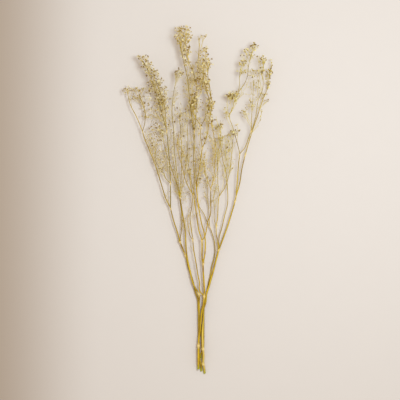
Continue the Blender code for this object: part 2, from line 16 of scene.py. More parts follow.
import bmesh
import bpy
import numpy as np
from mathutils import Matrix, Vector

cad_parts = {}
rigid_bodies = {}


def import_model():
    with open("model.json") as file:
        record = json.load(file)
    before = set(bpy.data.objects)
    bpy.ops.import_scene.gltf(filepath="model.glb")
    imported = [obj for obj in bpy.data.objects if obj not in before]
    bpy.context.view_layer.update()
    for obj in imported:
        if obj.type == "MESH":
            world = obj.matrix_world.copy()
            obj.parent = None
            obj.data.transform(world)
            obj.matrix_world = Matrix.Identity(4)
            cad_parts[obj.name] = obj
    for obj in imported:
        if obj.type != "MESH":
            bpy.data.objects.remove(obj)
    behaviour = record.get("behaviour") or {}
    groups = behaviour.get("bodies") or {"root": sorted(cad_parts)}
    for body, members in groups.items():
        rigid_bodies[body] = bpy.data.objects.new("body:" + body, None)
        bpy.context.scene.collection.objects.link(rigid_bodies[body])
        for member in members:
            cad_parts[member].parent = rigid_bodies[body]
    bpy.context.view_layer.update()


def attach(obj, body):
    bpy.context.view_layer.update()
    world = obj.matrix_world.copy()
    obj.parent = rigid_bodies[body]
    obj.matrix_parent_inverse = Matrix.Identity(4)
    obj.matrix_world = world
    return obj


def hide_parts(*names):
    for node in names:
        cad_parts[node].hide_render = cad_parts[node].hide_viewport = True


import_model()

LOG = logging.getLogger("babys_breath")

MILLIMETRE = 0.001
BODY = "root"

# How the stems are laid, the same as in the frame
ROUTE_STEP = 1.0            # distance between the places read along a route
SWELLING = 0.35             # how much thicker a laid stem is at a fork, as a share of its radius
SWELLING_LENGTH = 2.0
CLEARANCE = 0.35            # air between two sprays
LIFT_LENGTH = 9.0           # over which a stem climbs on to the one it crosses
ROOT_LENGTH = 5.0           # stretch at a fork that stays on the parent stem

# Stems
STEM_SIDES = 10
POINT_SPACING = 2           # route steps between the points of a stem's line
JOINT_SWELLING = 0.34       # how much thicker a joint shows, as a share of the stem's radius
JOINT_LENGTH = 3.0          # how far the swelling reaches along the stem
JOINT_COLOUR_LENGTH = 5.5   # how far its pale colour reaches
CUT_COLOUR_LENGTH = 9.0     # how far the green of a cut end reaches
PITH_SHARE = 0.5            # radius of the pith in a cut end, as a share of the stem's
RIM_DEPTH = 0.12            # how far the rim of a cut stands behind its pith
THIN_BROWNING = 0.28        # how much browner a stem is for each millimetre that it is thinner
STEM_SHRIVEL = 0.10         # how much a dry stem's radius wanders
TWIG_SHRIVEL = 0.16
SHRIVEL_LENGTH = 3.5
JOINT_POINTS = 3            # route steps on each side of a joint where every one is a point of the line
BLEACH_FADE = 2.0           # a bleached stem is so over its first quarter, and no more from its middle on
SHARP_ANGLE = math.radians(55)

# Twigs
TWIG_SIDES = 5
TWIG_POINTS = 5             # points along one stretch of twig
TWIG_RADIUS = 0.26          # at a stem
FINEST_TWIG = 0.13
TWIG_TAPER = 0.86           # radius after a fork, as a share of the radius before it
KNEE_SHARE = 0.42           # how far a twig runs straight before it curves to its end
KNOT_POWER = 4              # how close to its end a twig starts to swell: higher is closer
FORK_SHARE = 0.52           # how far towards its florets a twig forks
SMALLEST_SPLIT = 4          # fewer florets than this part from one point
GROUP_SIZE = 11             # florets that share one twig of the stem
REACH = (9.0, 22.0)         # how far back along its stem such a twig starts
LEAN = 0.8                  # how much it leans along the stem there
LOWEST_TWIG = 0.4           # lowest height of a twig's middle
FLATNESS = 0.6              # side twigs spread less upwards than sideways
FRINGE_FROM = 0.35          # share of a stem below which it has no side twigs
FRINGE_LEAN = (0.22, 0.55)  # how far its side twigs stand off
FRINGE_LENGTH = (8.0, 20.0)
FRINGE_SPREAD = 0.24        # spread of a side twig's ends, as a share of its length
SIDE_FLORETS = (1, 2, 2, 3)     # what the number of florets on a side twig is drawn from

# Threads, which are long thin branches that run beside a stem
THREAD_UNTIL = 0.65         # share of the stem past which none leaves it
THREAD_LENGTH = (35.0, 95.0)
THREAD_LEAN = (0.10, 0.34)  # how far it stands off as it leaves
THREAD_RISE = (-9.0, 7.0)   # how far its end lies above the stem
THREAD_RADIUS = (0.29, 0.16)
THREAD_BARE = 0.3           # share of it that has no side twigs
THREAD_SWAY = 3.0           # how far it swings from side to side
THREAD_WAVES = (3.0, 8.0)   # and how often, in radians over its length
THREAD_GAP = (6.0, 14.0)    # distance between its side twigs
THREAD_SPACING = 3          # route steps between the points of its line
THREAD_TWIG = (5.0, 14.0)
THREAD_TWIG_LEAN = (0.3, 0.75)

# Florets and bracts
LOWEST_FLORET = 2.8         # lowest height of a floret's neck
HEAD_SCALE = (0.80, 1.12)   # size of the florets in a head
SIDE_SCALE = (0.48, 0.76)   # size of those on side twigs and in a haze
HEAD_TONE = (0.0, 1.0)      # their tones, from the palest to the brownest
FADED_TONE = (0.2, 0.70)    # the tones where all have faded alike
EVEN_TONE = (0.0, 0.86)     # the tones where few have browned
SPOT_TRIES = 5              # of so many places, a head's next floret takes the emptiest
FACING_JITTER = 0.35
FACING_UP = 0.14            # how much a floret turns up, away from the surface
STEM_BRACT = (2.3, 1.1)     # a bract's length on a stem: per millimetre of radius, and added to it
TWIG_BRACT = 1.25
BRACT_LEAN = (0.5, 0.9)     # how far it stands off
BRACT_SEAT = 0.6            # how far from the stem's middle it sits, as a share of the radius
BRACT_SIZE = (0.8, 1.2)

Place = tuple[float, float]
Colour = tuple[float, float, float, float]
Feed = bpy.types.NodeSocket | float | Colour    # what an input of a node can be given


def unit(vector: np.ndarray) -> np.ndarray:
    """The vector at length 1."""
    return vector / np.linalg.norm(vector)


class Form(Enum):
    """What sits on a twig. The value is its number in the collection of forms, which is sorted by name."""

    BRACT = 0
    BUD = 1
    HALF_OPEN = 2
    OPEN = 3


@dataclass
class Stem:
    """A stem or branch, with its route seen from above and how it tapers and rises."""

    name: str
    route: list[Place]
    radius: tuple[float, float]
    height: float
    parent: str = ""
    joints: tuple[float, ...] = ()      # where along Y it has a swollen joint but no branch
    fringe: int = 0                     # number of fine side twigs
    threads: int = 0                    # number of long thin branches beside it
    bare: float = 0.0                   # the side that has none of either: -1 for the left, 1 for the right
    brown: float = 0.1                  # how far it has browned
    threads_from: float = 0.02          # share of it below which no long branch leaves
    bleached: float = 0.0               # how far its lower half has bleached
    path: np.ndarray = field(default_factory=lambda: np.zeros((0, 4)))

    def flat_path(self) -> np.ndarray:
        """Places about ROUTE_STEP apart on the smooth curve through the route's points.

        Returns:
            Rows of (x, y).
        """
        points = np.array(self.route, dtype=float)
        legs = np.linalg.norm(np.diff(points, axis=0), axis=1)
        at = np.concatenate(([0.0], np.cumsum(legs)))
        slopes = np.gradient(points, at, axis=0)
        along = np.linspace(0.0, at[-1], max(2, round(at[-1] / ROUTE_STEP) + 1))
        leg = np.clip(np.searchsorted(at, along, side="right") - 1, 0, len(legs) - 1)
        share = ((along - at[leg]) / legs[leg])[:, None]
        length = legs[leg][:, None]
        return ((1 + 2 * share) * (1 - share) ** 2 * points[leg]
                + share * (1 - share) ** 2 * length * slopes[leg]
                + share ** 2 * (3 - 2 * share) * points[leg + 1]
                + share ** 2 * (share - 1) * length * slopes[leg + 1])

    def swollen(self, places: Iterable[int], count: int, reach: float) -> np.ndarray:
        """How near each step of the stem is to one of some places: 1 there, and 0 from reach on.

        Args:
            places: Steps along the stem.
            count: Number of steps in all.
            reach: Distance at which the swelling has gone.
        """
        near = np.zeros(count)
        for place in places:
            away = np.abs(np.arange(count) - place) * ROUTE_STEP
            near = np.maximum(near, 1.0 - away / reach)
        return near

    def taper(self, count: int) -> np.ndarray:
        """The plain radius at each of count steps."""
        return np.linspace(self.radius[0], self.radius[1], count)

    def joint_places(self) -> list[int]:
        """The steps at which the stem has a joint without a branch."""
        return [int(np.abs(self.path[:, 1] - joint).argmin()) for joint in self.joints]


@dataclass(frozen=True)
class Crop:
    """What a twig carries: the forms that its florets are drawn from, their sizes and their tones."""

    forms: tuple[Form, ...]
    scale: tuple[float, float]
    tone: tuple[float, float]
    twig: float             # the twig's radius


FRESH_FORMS = (Form.OPEN, Form.OPEN, Form.HALF_OPEN, Form.HALF_OPEN, Form.BUD)
SMALL_FORMS = (Form.OPEN, Form.HALF_OPEN, Form.HALF_OPEN, Form.BUD, Form.BUD)
FULL = Crop(FRESH_FORMS, HEAD_SCALE, HEAD_TONE, TWIG_RADIUS)
FADED = Crop(FRESH_FORMS, HEAD_SCALE, FADED_TONE, TWIG_RADIUS)
EVEN = Crop(FRESH_FORMS, HEAD_SCALE, EVEN_TONE, TWIG_RADIUS)
HAZE = Crop(SMALL_FORMS, SIDE_SCALE, FADED_TONE, TWIG_RADIUS * TWIG_TAPER)


@dataclass
class Head:
    """A cloud of florets round a stem."""

    stem: str
    middle: Place
    half: tuple[float, float, float]
    florets: int
    crop: Crop = FULL


def new_object(name: str, mesh: bpy.types.Mesh) -> bpy.types.Object:
    """A new object of the scene that shows a mesh."""
    made = bpy.data.objects.new(name, mesh)
    bpy.context.scene.collection.objects.link(made)
    return made


def add_values(mesh: bpy.types.Mesh, name: str, values: Iterable[float]) -> None:
    """Give each point of a mesh a number, as an attribute."""
    attribute = mesh.attributes.new(name, "FLOAT", "POINT")
    attribute.data.foreach_set("value", np.array(values, dtype=np.float32))


class Lines:
    """Open lines through space, each point with what the skin round it needs."""

    FIELDS = ("thickness", "joint", "cut", "pith", "brown", "tone")

    def __init__(self) -> None:
        self.places: list[np.ndarray] = []
        self.edges: list[tuple[int, int]] = []
        self.values: dict[str, list[np.ndarray]] = {name: [] for name in self.FIELDS}
        self.count = 0

    def add(self, places: np.ndarray, **values: np.ndarray | float) -> None:
        """Add one line.

        Args:
            places: Rows of (x, y, z).
            values: A value, or one for each point, of any of FIELDS. What isn't given is 0.
        """
        number = len(places)
        self.places.append(places)
        self.edges += [(self.count + step, self.count + step + 1) for step in range(number - 1)]
        for name in self.FIELDS:
            self.values[name].append(np.broadcast_to(values.get(name, 0.0), number))
        self.count += number

    def make_object(self, name: str) -> bpy.types.Object:
        """Turn the lines into an object of bare edges, in metres, with an attribute for each field.

        Args:
            name: The object's name.

        Returns:
            The object.
        """
        mesh = bpy.data.meshes.new(name)
        mesh.from_pydata(np.concatenate(self.places) * MILLIMETRE, self.edges, [])
        for field_name, parts in self.values.items():
            add_values(mesh, field_name, np.concatenate(parts))
        return new_object(name, mesh)


class Sittings:
    """Places where something small sits on a twig, with the way that it faces."""

    def __init__(self) -> None:
        self.places: list[np.ndarray] = []
        self.facings: list[np.ndarray] = []
        self.forms: list[Form] = []
        self.sizes: list[float] = []
        self.tones: list[float] = []

    def add(self, place: np.ndarray, facing: np.ndarray, form: Form, size: float, tone: float) -> None:
        """Add one, at a place in millimetres.

        Args:
            place: Where its neck sits.
            facing: The way that it points.
            form: What it is.
            size: Its scale.
            tone: How far it has browned, against the others: 0 for the palest, 1 for the brownest.
        """
        self.places.append(place)
        self.facings.append(facing)
        self.forms.append(form)
        self.sizes.append(size)
        self.tones.append(tone)

    def make_object(self, name: str) -> bpy.types.Object:
        """Turn the places into an object of loose points, in metres, that a modifier grows forms on.

        Args:
            name: The object's name.

        Returns:
            The object.
        """
        mesh = bpy.data.meshes.new(name)
        mesh.from_pydata(np.array(self.places) * MILLIMETRE, [], [])
        facing = mesh.attributes.new("facing", "FLOAT_VECTOR", "POINT")
        facing.data.foreach_set("vector", np.array(self.facings, dtype=np.float32).ravel())
        form = mesh.attributes.new("form", "INT", "POINT")
        form.data.foreach_set("value", np.array([item.value for item in self.forms], dtype=np.int32))
        add_values(mesh, "size", self.sizes)
        add_values(mesh, "tone", self.tones)
        return new_object(name, mesh)


class TwigGrower:
    """Grows the fine twigs of one spray out to their florets."""

    def __init__(self, seed: int) -> None:
        self.random = random.Random(seed)
        self.twigs = Lines()
        self.florets = Sittings()
        self.bracts = Sittings()

    def any_way(self) -> np.ndarray:
        """A vector inside the unit ball."""
        while True:
            spot = np.array([self.random.uniform(-1.0, 1.0) for _ in range(3)])
            if np.linalg.norm(spot) <= 1.0:
                return spot

    def cloud(self, middle: np.ndarray, half: np.ndarray, count: int) -> np.ndarray:
        """Places in an egg-shaped cloud, spread so that few are close to each other.

        Args:
            middle: The middle of the cloud.
            half: Half its sides.
            count: Number of places.

        Returns:
            Rows of (x, y, z).
        """
        chosen = np.array([middle + self.any_way() * half])
        while len(chosen) < count:
            tries = np.array([middle + self.any_way() * half for _ in range(SPOT_TRIES)])
            gaps = np.linalg.norm(tries[:, None] - chosen[None], axis=2).min(axis=1)
            chosen = np.vstack((chosen, tries[gaps.argmax()]))
        return chosen

    def stretch(self, start: np.ndarray, way: np.ndarray, end: np.ndarray, radius: float) -> np.ndarray:
        """One stretch of twig that leaves its start one way and curves to its end.

        Args:
            start: Where it starts.
            way: The way it leaves.
            end: Where it ends.
            radius: Its thickness at the start.

        Returns:
            The way it points at its end.
        """
        knee = start + way * np.linalg.norm(end - start) * KNEE_SHARE
        share = np.linspace(0.0, 1.0, TWIG_POINTS)[:, None]
        places = (1 - share) ** 2 * start + 2 * share * (1 - share) * knee + share ** 2 * end
        places[:, 2] = np.maximum(places[:, 2], LOWEST_TWIG)
        radii = np.linspace(radius, max(radius * TWIG_TAPER, FINEST_TWIG), TWIG_POINTS)
        knot = np.linspace(0.0, 1.0, TWIG_POINTS) ** KNOT_POWER
        self.twigs.add(places, thickness=radii * (1 + knot * SWELLING), tone=self.random.random())
        return unit(end - knee)

    def grow_floret(self, start: np.ndarray, way: np.ndarray, end: np.ndarray, radius: float,
                    crop: Crop) -> None:
        """Add a last stretch of twig with a floret at its end.

        Args:
            start: Where it starts.
            way: The way it runs there.
            end: Its end.
            radius: Its radius at the start.
            crop: What the floret is drawn from.
        """
        end = np.array([end[0], end[1], max(end[2], LOWEST_FLORET * crop.scale[1])])
        heading = self.stretch(start, way, end, radius)
        facing = heading + self.any_way() * FACING_JITTER + np.array([0.0, 0.0, FACING_UP])
        self.florets.add(end, unit(facing), self.random.choice(crop.forms),
                         self.random.uniform(*crop.scale), self.random.uniform(*crop.tone))

    def split(self, targets: np.ndarray) -> list[np.ndarray]:
        """Part the targets across the longest side of the box that holds them.

        Args:
            targets: Rows of (x, y, z).

        Returns:
            The two halves.
        """
        spread = targets.max(axis=0) - targets.min(axis=0)
        order = np.argsort(targets[:, spread.argmax()])
        half = len(targets) // 2
        return [targets[order[:half]], targets[order[half:]]]

    def groups(self, targets: np.ndarray) -> list[np.ndarray]:
        """Part the targets into groups of at most GROUP_SIZE near each other."""
        if len(targets) <= GROUP_SIZE:
            return [targets]
        first, second = self.split(targets)
        return self.groups(first) + self.groups(second)

    def grow_twig(self, start: np.ndarray, way: np.ndarray, targets: np.ndarray, radius: float,
                  crop: Crop) -> None:
        """A twig that forks until each of its ends carries one floret.

        Args:
            start: Where it starts.
            way: The way it leaves.
            targets: Where its florets sit.
            radius: Its thickness at the start.
            crop: What its florets are.
        """
        if len(targets) == 1:
            self.grow_floret(start, way, targets[0], radius, crop)
            return
        fork = start + (targets.mean(axis=0) - start) * FORK_SHARE
        heading = self.stretch(start, way, fork, radius)
        self.add_bracts(fork, heading, TWIG_BRACT, radius)
        parts = self.split(targets) if len(targets) >= SMALLEST_SPLIT else list(targets[:, None, :])
        for part in parts:
            outward = unit(part.mean(axis=0) - fork)
            self.grow_twig(fork, unit(heading + outward), part, max(radius * TWIG_TAPER, FINEST_TWIG), crop)

    def add_bracts(self, place: np.ndarray, heading: np.ndarray, length: float, radius: float) -> None:
        """A pair of small dry bracts on the two sides of a fork."""
        side = unit(np.cross(heading, self.any_way()))
        for turn in (-1.0, 1.0):
            facing = unit(heading + side * turn * self.random.uniform(*BRACT_LEAN))
            seat = place + side * turn * radius * BRACT_SEAT
            seat[2] = max(seat[2], LOWEST_TWIG)
            size = length * self.random.uniform(*BRACT_SIZE)
            facing[2] = max(facing[2], (LOWEST_TWIG - seat[2]) / size)
            self.bracts.add(seat, facing, Form.BRACT, size, self.random.random())

    def grow_head(self, head: Head, path: np.ndarray) -> None:
        """Scatter a head's florets in its cloud and join each group of them to the stem.

        Args:
            head: The cloud.
            path: The places along its stem.
        """
        nearest = np.linalg.norm(path[:, :2] - np.array(head.middle), axis=1).argmin()
        middle = np.append(np.array(head.middle), path[nearest, 2])
        targets = self.cloud(middle, np.array(head.half), head.florets)
        for group in self.groups(targets):
            nearest = np.linalg.norm(path - group.mean(axis=0), axis=1).argmin()
            root = max(nearest - round(self.random.uniform(*REACH) / ROUTE_STEP), 1)
            heading = unit(path[root] - path[root - 1])
            way = unit(unit(group.mean(axis=0) - path[root]) + heading * LEAN)
            self.grow_twig(path[root], way, group, head.crop.twig, head.crop)

    def grow_fringe(self, stem: Stem) -> None:
        """Fine side twigs along a stem, most of whose florets have dropped."""
        path = stem.path[:, :3]
        for _ in range(stem.fringe):
            step = round(self.random.uniform(FRINGE_FROM, 1.0) * (len(path) - 2))
            heading = unit(path[step + 1] - path[step])
            side = unit(np.cross(heading, self.any_way())) * np.array([1.0, 1.0, FLATNESS])
            if side[0] * stem.bare > 0.0:
                side[0] *= -1.0
            self.grow_side_twig(path[step], unit(heading + side * self.random.uniform(*FRINGE_LEAN)),
                                self.random.uniform(*FRINGE_LENGTH), HAZE.twig)

    def grow_side_twig(self, start: np.ndarray, way: np.ndarray, length: float, radius: float) -> None:
        """A side twig with a few small florets at its end.

        Args:
            start: Where it starts.
            way: The way it leaves.
            length: Its length.
            radius: Its thickness at the start.
        """
        ends = self.random.choice(SIDE_FLORETS)
        spread = length * FRINGE_SPREAD
        targets = np.array([start + way * length + self.any_way() * spread for _ in range(ends)])
        self.grow_twig(start, way, targets, radius, HAZE)

    def thread_places(self, stem: Stem, first: int, last: int) -> np.ndarray:
        """The places along a thread that leaves a stem at one of its steps and ends beside another.

        Args:
            stem: The stem.
            first: The step where it leaves.
            last: The step that it ends beside.

        Returns:
            Rows of (x, y, z).
        """
        beside = stem.path[first:last + 1, :3]
        level = unit(beside[-1] - beside[0])
        turn = -stem.bare or self.random.choice((-1.0, 1.0))
        side = unit(np.array([level[1], -level[0], 0.0])) * turn
        share = np.linspace(0.0, 1.0, len(beside))[:, None]
        lean = self.random.uniform(*THREAD_LEAN) * (last - first) * ROUTE_STEP * (share - share ** 2 / 2)
        waves = share * self.random.uniform(*THREAD_WAVES) + self.random.uniform(0.0, 2 * math.pi)
        rise = np.array([0.0, 0.0, self.random.uniform(*THREAD_RISE)])
        places = beside + side * (lean + np.sin(waves) * THREAD_SWAY * share) + rise * share
        places[:, 2] = np.maximum(places[:, 2], LOWEST_TWIG)
        return places

    def grow_threads(self, stem: Stem) -> None:
        """Long thin branches that leave a stem and come to run beside it, with side twigs along them."""
        steps = len(stem.path)
        for _ in range(stem.threads):
            first = round(self.random.uniform(stem.threads_from, THREAD_UNTIL) * (steps - 2))
            last = min(first + round(self.random.uniform(*THREAD_LENGTH) / ROUTE_STEP), steps - 1)
            places = self.thread_places(stem, first, last)
            radii = np.linspace(*THREAD_RADIUS, len(places))
            self.twigs.add(places[::THREAD_SPACING], thickness=radii[::THREAD_SPACING],
                           tone=self.random.random())
            step = round(len(places) * THREAD_BARE)
            while step < len(places) - 1:
                heading = unit(places[step + 1] - places[step])
                lean = unit(self.any_way() * np.array([1.0, 1.0, FLATNESS]))
                way = unit(heading + lean * self.random.uniform(*THREAD_TWIG_LEAN))
                self.grow_side_twig(places[step], way, self.random.uniform(*THREAD_TWIG), radii[step])
                step += round(self.random.uniform(*THREAD_GAP) / ROUTE_STEP)


class NodeBuilder:
    """Adds nodes to a tree and joins them."""

    def __init__(self, tree: bpy.types.NodeTree) -> None:
        self.tree = tree

    def add(self, kind: str, values: dict | None = None, **settings: object) -> bpy.types.Node:
        """Add a node.

        Args:
            kind: The node's type.
            values: For each input, by name or number, a value, or a socket that feeds it.
            settings: The node's own settings.

        Returns:
            The node.
        """
        node = self.tree.nodes.new(kind)
        for name, value in settings.items():
            setattr(node, name, value)
        self.feed(node, values or {})
        return node

    def feed(self, node: bpy.types.Node, values: dict) -> None:
        """Set some of a node's inputs, each to a value or to a socket that feeds it."""
        for name, value in values.items():
            if isinstance(value, bpy.types.NodeSocket):
                self.tree.links.new(value, node.inputs[name])
            else:
                node.inputs[name].default_value = value

    def group(self, name: str, values: dict) -> dict[str, bpy.types.NodeSocket]:
        """The outputs, by name, of a shared shader group with its own values."""
        node = self.add("ShaderNodeGroup", values, node_tree=bpy.data.node_groups[name])
        return dict(node.outputs.items())

    def math(self, operation: str, first: Feed, second: Feed = 0.0,
             third: Feed = 0.0) -> bpy.types.NodeSocket:
        """The result of a sum on two or three numbers."""
        return self.add("ShaderNodeMath", {0: first, 1: second, 2: third}, operation=operation).outputs[0]

    def times(self, first: Feed, second: Feed) -> bpy.types.NodeSocket:
        """Two numbers multiplied."""
        return self.math("MULTIPLY", first, second)

    def vector(self, operation: str, first: Feed, second: Feed) -> bpy.types.NodeSocket:
        """The result of a sum on two vectors."""
        return self.add("ShaderNodeVectorMath", {0: first, 1: second}, operation=operation).outputs[0]

    def mix(self, share: Feed, first: Feed, second: Feed) -> bpy.types.NodeSocket:
        """A colour between two others."""
        node = self.add("ShaderNodeMix", {0: share, 6: first, 7: second}, data_type="RGBA")
        return node.outputs[2]

    def spread(self, value: Feed, low: Feed, high: Feed, to: tuple[float, float] = (0.0, 1.0),
               curve: str = "LINEAR") -> bpy.types.NodeSocket:
        """A value stretched from the range between low and high to another."""
        values = {0: value, 1: low, 2: high, 3: to[0], 4: to[1]}
        return self.add("ShaderNodeMapRange", values, interpolation_type=curve).outputs[0]

    def noise(self, place: Feed, scale: Feed, detail: float) -> bpy.types.NodeSocket:
        """Noise over a place."""
        values = {"Vector": place, "Scale": scale, "Detail": detail}
        return self.add("ShaderNodeTexNoise", values).outputs[0]

    def bump(self, height: Feed, strength: float, distance: float) -> bpy.types.NodeSocket:
        """The normal of a surface with fine relief."""
        values = {"Height": height, "Strength": strength, "Distance": distance}
        return self.add("ShaderNodeBump", values).outputs[0]

    def attribute(self, name: str, output: int = 2) -> bpy.types.NodeSocket:
        """What a mesh attribute holds, in a material: its number, or with output 1 its vector."""
        return self.add("ShaderNodeAttribute", attribute_name=name).outputs[output]

    def named(self, name: str, kind: str = "FLOAT") -> bpy.types.NodeSocket:
        """What a named attribute holds, in geometry nodes."""
        return self.add("GeometryNodeInputNamedAttribute", {0: name}, data_type=kind).outputs[0]

    def keep(self, shape: Feed, name: str, value: Feed, kind: str = "FLOAT") -> bpy.types.NodeSocket:
        """A shape with a value kept on its points as a named attribute, in geometry nodes."""
        return self.add("GeometryNodeStoreNamedAttribute", {0: shape, 2: name, 3: value},
                        data_type=kind, domain="POINT").outputs[0]

    def end(self, shape: Feed, finish: Feed) -> bpy.types.NodeTree:
        """End a tree of geometry nodes with the shape made real.

        Args:
            shape: The shape.
            finish: Its material.

        Returns:
            The tree.
        """
        real = self.add("GeometryNodeRealizeInstances", {0: shape}).outputs[0]
        made = self.add("GeometryNodeSetMaterial", {"Geometry": real, "Material": finish}).outputs[0]
        self.add("NodeGroupOutput", {0: made})
        return self.tree


def new_group(name: str, kind: str, inputs: dict[str, str], outputs: dict[str, str]) -> NodeBuilder:
    """Start a node group.

    Args:
        name: Its name.
        kind: ShaderNodeTree or GeometryNodeTree.
        inputs: The socket type of each input.
        outputs: The socket type of each output.

    Returns:
        A builder on the empty group.
    """
    tree = bpy.data.node_groups.new(name, kind)
    for label, socket in inputs.items():
        tree.interface.new_socket(label, in_out="INPUT", socket_type=socket)
    for label, socket in outputs.items():
        tree.interface.new_socket(label, in_out="OUTPUT", socket_type=socket)
    return NodeBuilder(tree)


def skin_tree() -> bpy.types.NodeTree:
    """The tree that puts a round, slightly shrivelled skin on lines."""
    build = new_group(
        "Skin on lines", "GeometryNodeTree",
        {"Lines": "NodeSocketGeometry", "Sides": "NodeSocketInt", "Shrivel": "NodeSocketFloat",
         "Shrivel length": "NodeSocketFloat", "Seed": "NodeSocketFloat", "Finish": "NodeSocketMaterial"},
        {"Skin": "NodeSocketGeometry"})
    given = build.add("NodeGroupInput").outputs
    curve = build.add("GeometryNodeMeshToCurve", {0: given["Lines"]}).outputs[0]
    along = build.add("GeometryNodeSplineParameter").outputs["Length"]
    curve = build.keep(curve, "along", along)
    position = build.add("GeometryNodeInputPosition").outputs[0]
    fineness = build.math("DIVIDE", 1.0, given["Shrivel length"])
    noise = build.add("ShaderNodeTexNoise", {"Vector": position, "W": given["Seed"], "Scale": fineness},
                      noise_dimensions="4D").outputs[0]
    wander = build.times(build.math("SUBTRACT", noise, 0.5), given["Shrivel"])
    wander = build.math("MULTIPLY_ADD", wander, 2.0, 1.0)
    radius = build.times(build.named("thickness"), MILLIMETRE)
    circle = build.add("GeometryNodeCurvePrimitiveCircle", {"Resolution": given["Sides"], "Radius": 1.0},
                       mode="RADIUS").outputs[0]
    around = build.add("GeometryNodeInputPosition").outputs[0]
    circle = build.keep(circle, "around", around, "FLOAT_VECTOR")
    skin = build.add("GeometryNodeCurveToMesh",
                     {"Curve": curve, "Profile Curve": circle, "Scale": build.times(radius, wander),
                      "Fill Caps": True}).outputs[0]
    tone = build.named("tone")
    lengthwise = build.add("ShaderNodeCombineXYZ", {0: tone, 1: tone, 2: build.named("along")}).outputs[0]
    girth = build.add("ShaderNodeVectorMath", {0: build.named("around", "FLOAT_VECTOR"), "Scale": radius},
                      operation="SCALE").outputs[0]
    skin = build.keep(skin, "skin", build.vector("ADD", girth, lengthwise), "FLOAT_VECTOR")
    return build.end(skin, given["Finish"])


def sitting_tree() -> bpy.types.NodeTree:
    """The tree that sets florets or bracts on points, each facing its own way."""
    build = new_group(
        "Forms on twigs", "GeometryNodeTree",
        {"Points": "NodeSocketGeometry", "Forms": "NodeSocketCollection", "Seed": "NodeSocketInt",
         "Finish": "NodeSocketMaterial"},
        {"Forms": "NodeSocketGeometry"})
    given = build.add("NodeGroupInput").outputs
    forms = build.add("GeometryNodeCollectionInfo", {0: given["Forms"], 1: True, 2: True}).outputs[0]
    turn = build.add("FunctionNodeRandomValue", {2: 0.0, 3: 2 * math.pi, "Seed": given["Seed"]},
                     data_type="FLOAT").outputs[1]
    spin = build.add("FunctionNodeAxisAngleToRotation", {0: (0.0, 0.0, 1.0), 1: turn}).outputs[0]
    facing = build.named("facing", "FLOAT_VECTOR")
    aligned = build.add("FunctionNodeAlignRotationToVector", {"Vector": facing}, axis="Z").outputs[0]
    turned = build.add("FunctionNodeRotateRotation", {0: aligned, 1: spin},
                       rotation_space="LOCAL").outputs[0]
    sitting = build.add("GeometryNodeInstanceOnPoints",
                        {"Points": given["Points"], "Instance": forms, "Pick Instance": True,
                         "Instance Index": build.named("form", "INT"), "Rotation": turned,
                         "Scale": build.named("size")}).outputs[0]
    return build.end(sitting, given["Finish"])


def grow_by_tree(bare: bpy.types.Object, tree: bpy.types.NodeTree, settings: dict) -> None:
    """Put a tree on an object and keep what it makes as the object's plain mesh.

    Args:
        bare: The object of lines or points.
        tree: The tree.
        settings: The value of each of the tree's inputs, by its name.
    """
    modifier = bare.modifiers.new("Growth", "NODES")
    modifier.node_group = tree
    for item in tree.interface.items_tree:
        if item.name in settings and item.in_out == "INPUT":
            modifier[item.identifier] = settings[item.name]
    view = bpy.context.evaluated_depsgraph_get()
    grown = bpy.data.meshes.new_from_object(bare.evaluated_get(view), preserve_all_data_layers=True,
                                            depsgraph=view)
    bare.modifiers.remove(modifier)
    bare.data = grown


@dataclass(frozen=True)
class Ring:
    """A ring of petals. Where a range has no width, all its petals are alike in that."""

    petals: int
    length: tuple[float, float]
    rise: tuple[float, float]   # angle above the floret's rim
    height: float               # how far up the floret the petals' feet are
    wander: float               # how far each one's place in the ring may be off


@dataclass(frozen=True)
class Floret:
    """The measures of one form of floret."""

    length: float               # of the calyx to its rim
    radius: float               # of the rim
    tooth: float                # how far each tooth stands out past the rim
    rings: tuple[Ring, ...]


FLORETS = {
    Form.BUD: Floret(1.4, 0.75, 0.3, (Ring(3, (0.9, 1.1), (1.2, 1.2), 1.0, 0.0),)),
    Form.HALF_OPEN: Floret(1.6, 0.95, 0.35, (Ring(5, (1.5, 1.9), (0.75, 1.1), 1.1, 0.2),)),
    Form.OPEN: Floret(1.4, 1.0, 0.35, (Ring(5, (1.75, 2.1), (0.15, 0.5), 1.1, 0.2),
                                       Ring(3, (1.2, 1.5), (0.8, 1.15), 1.2, 0.3))),
}


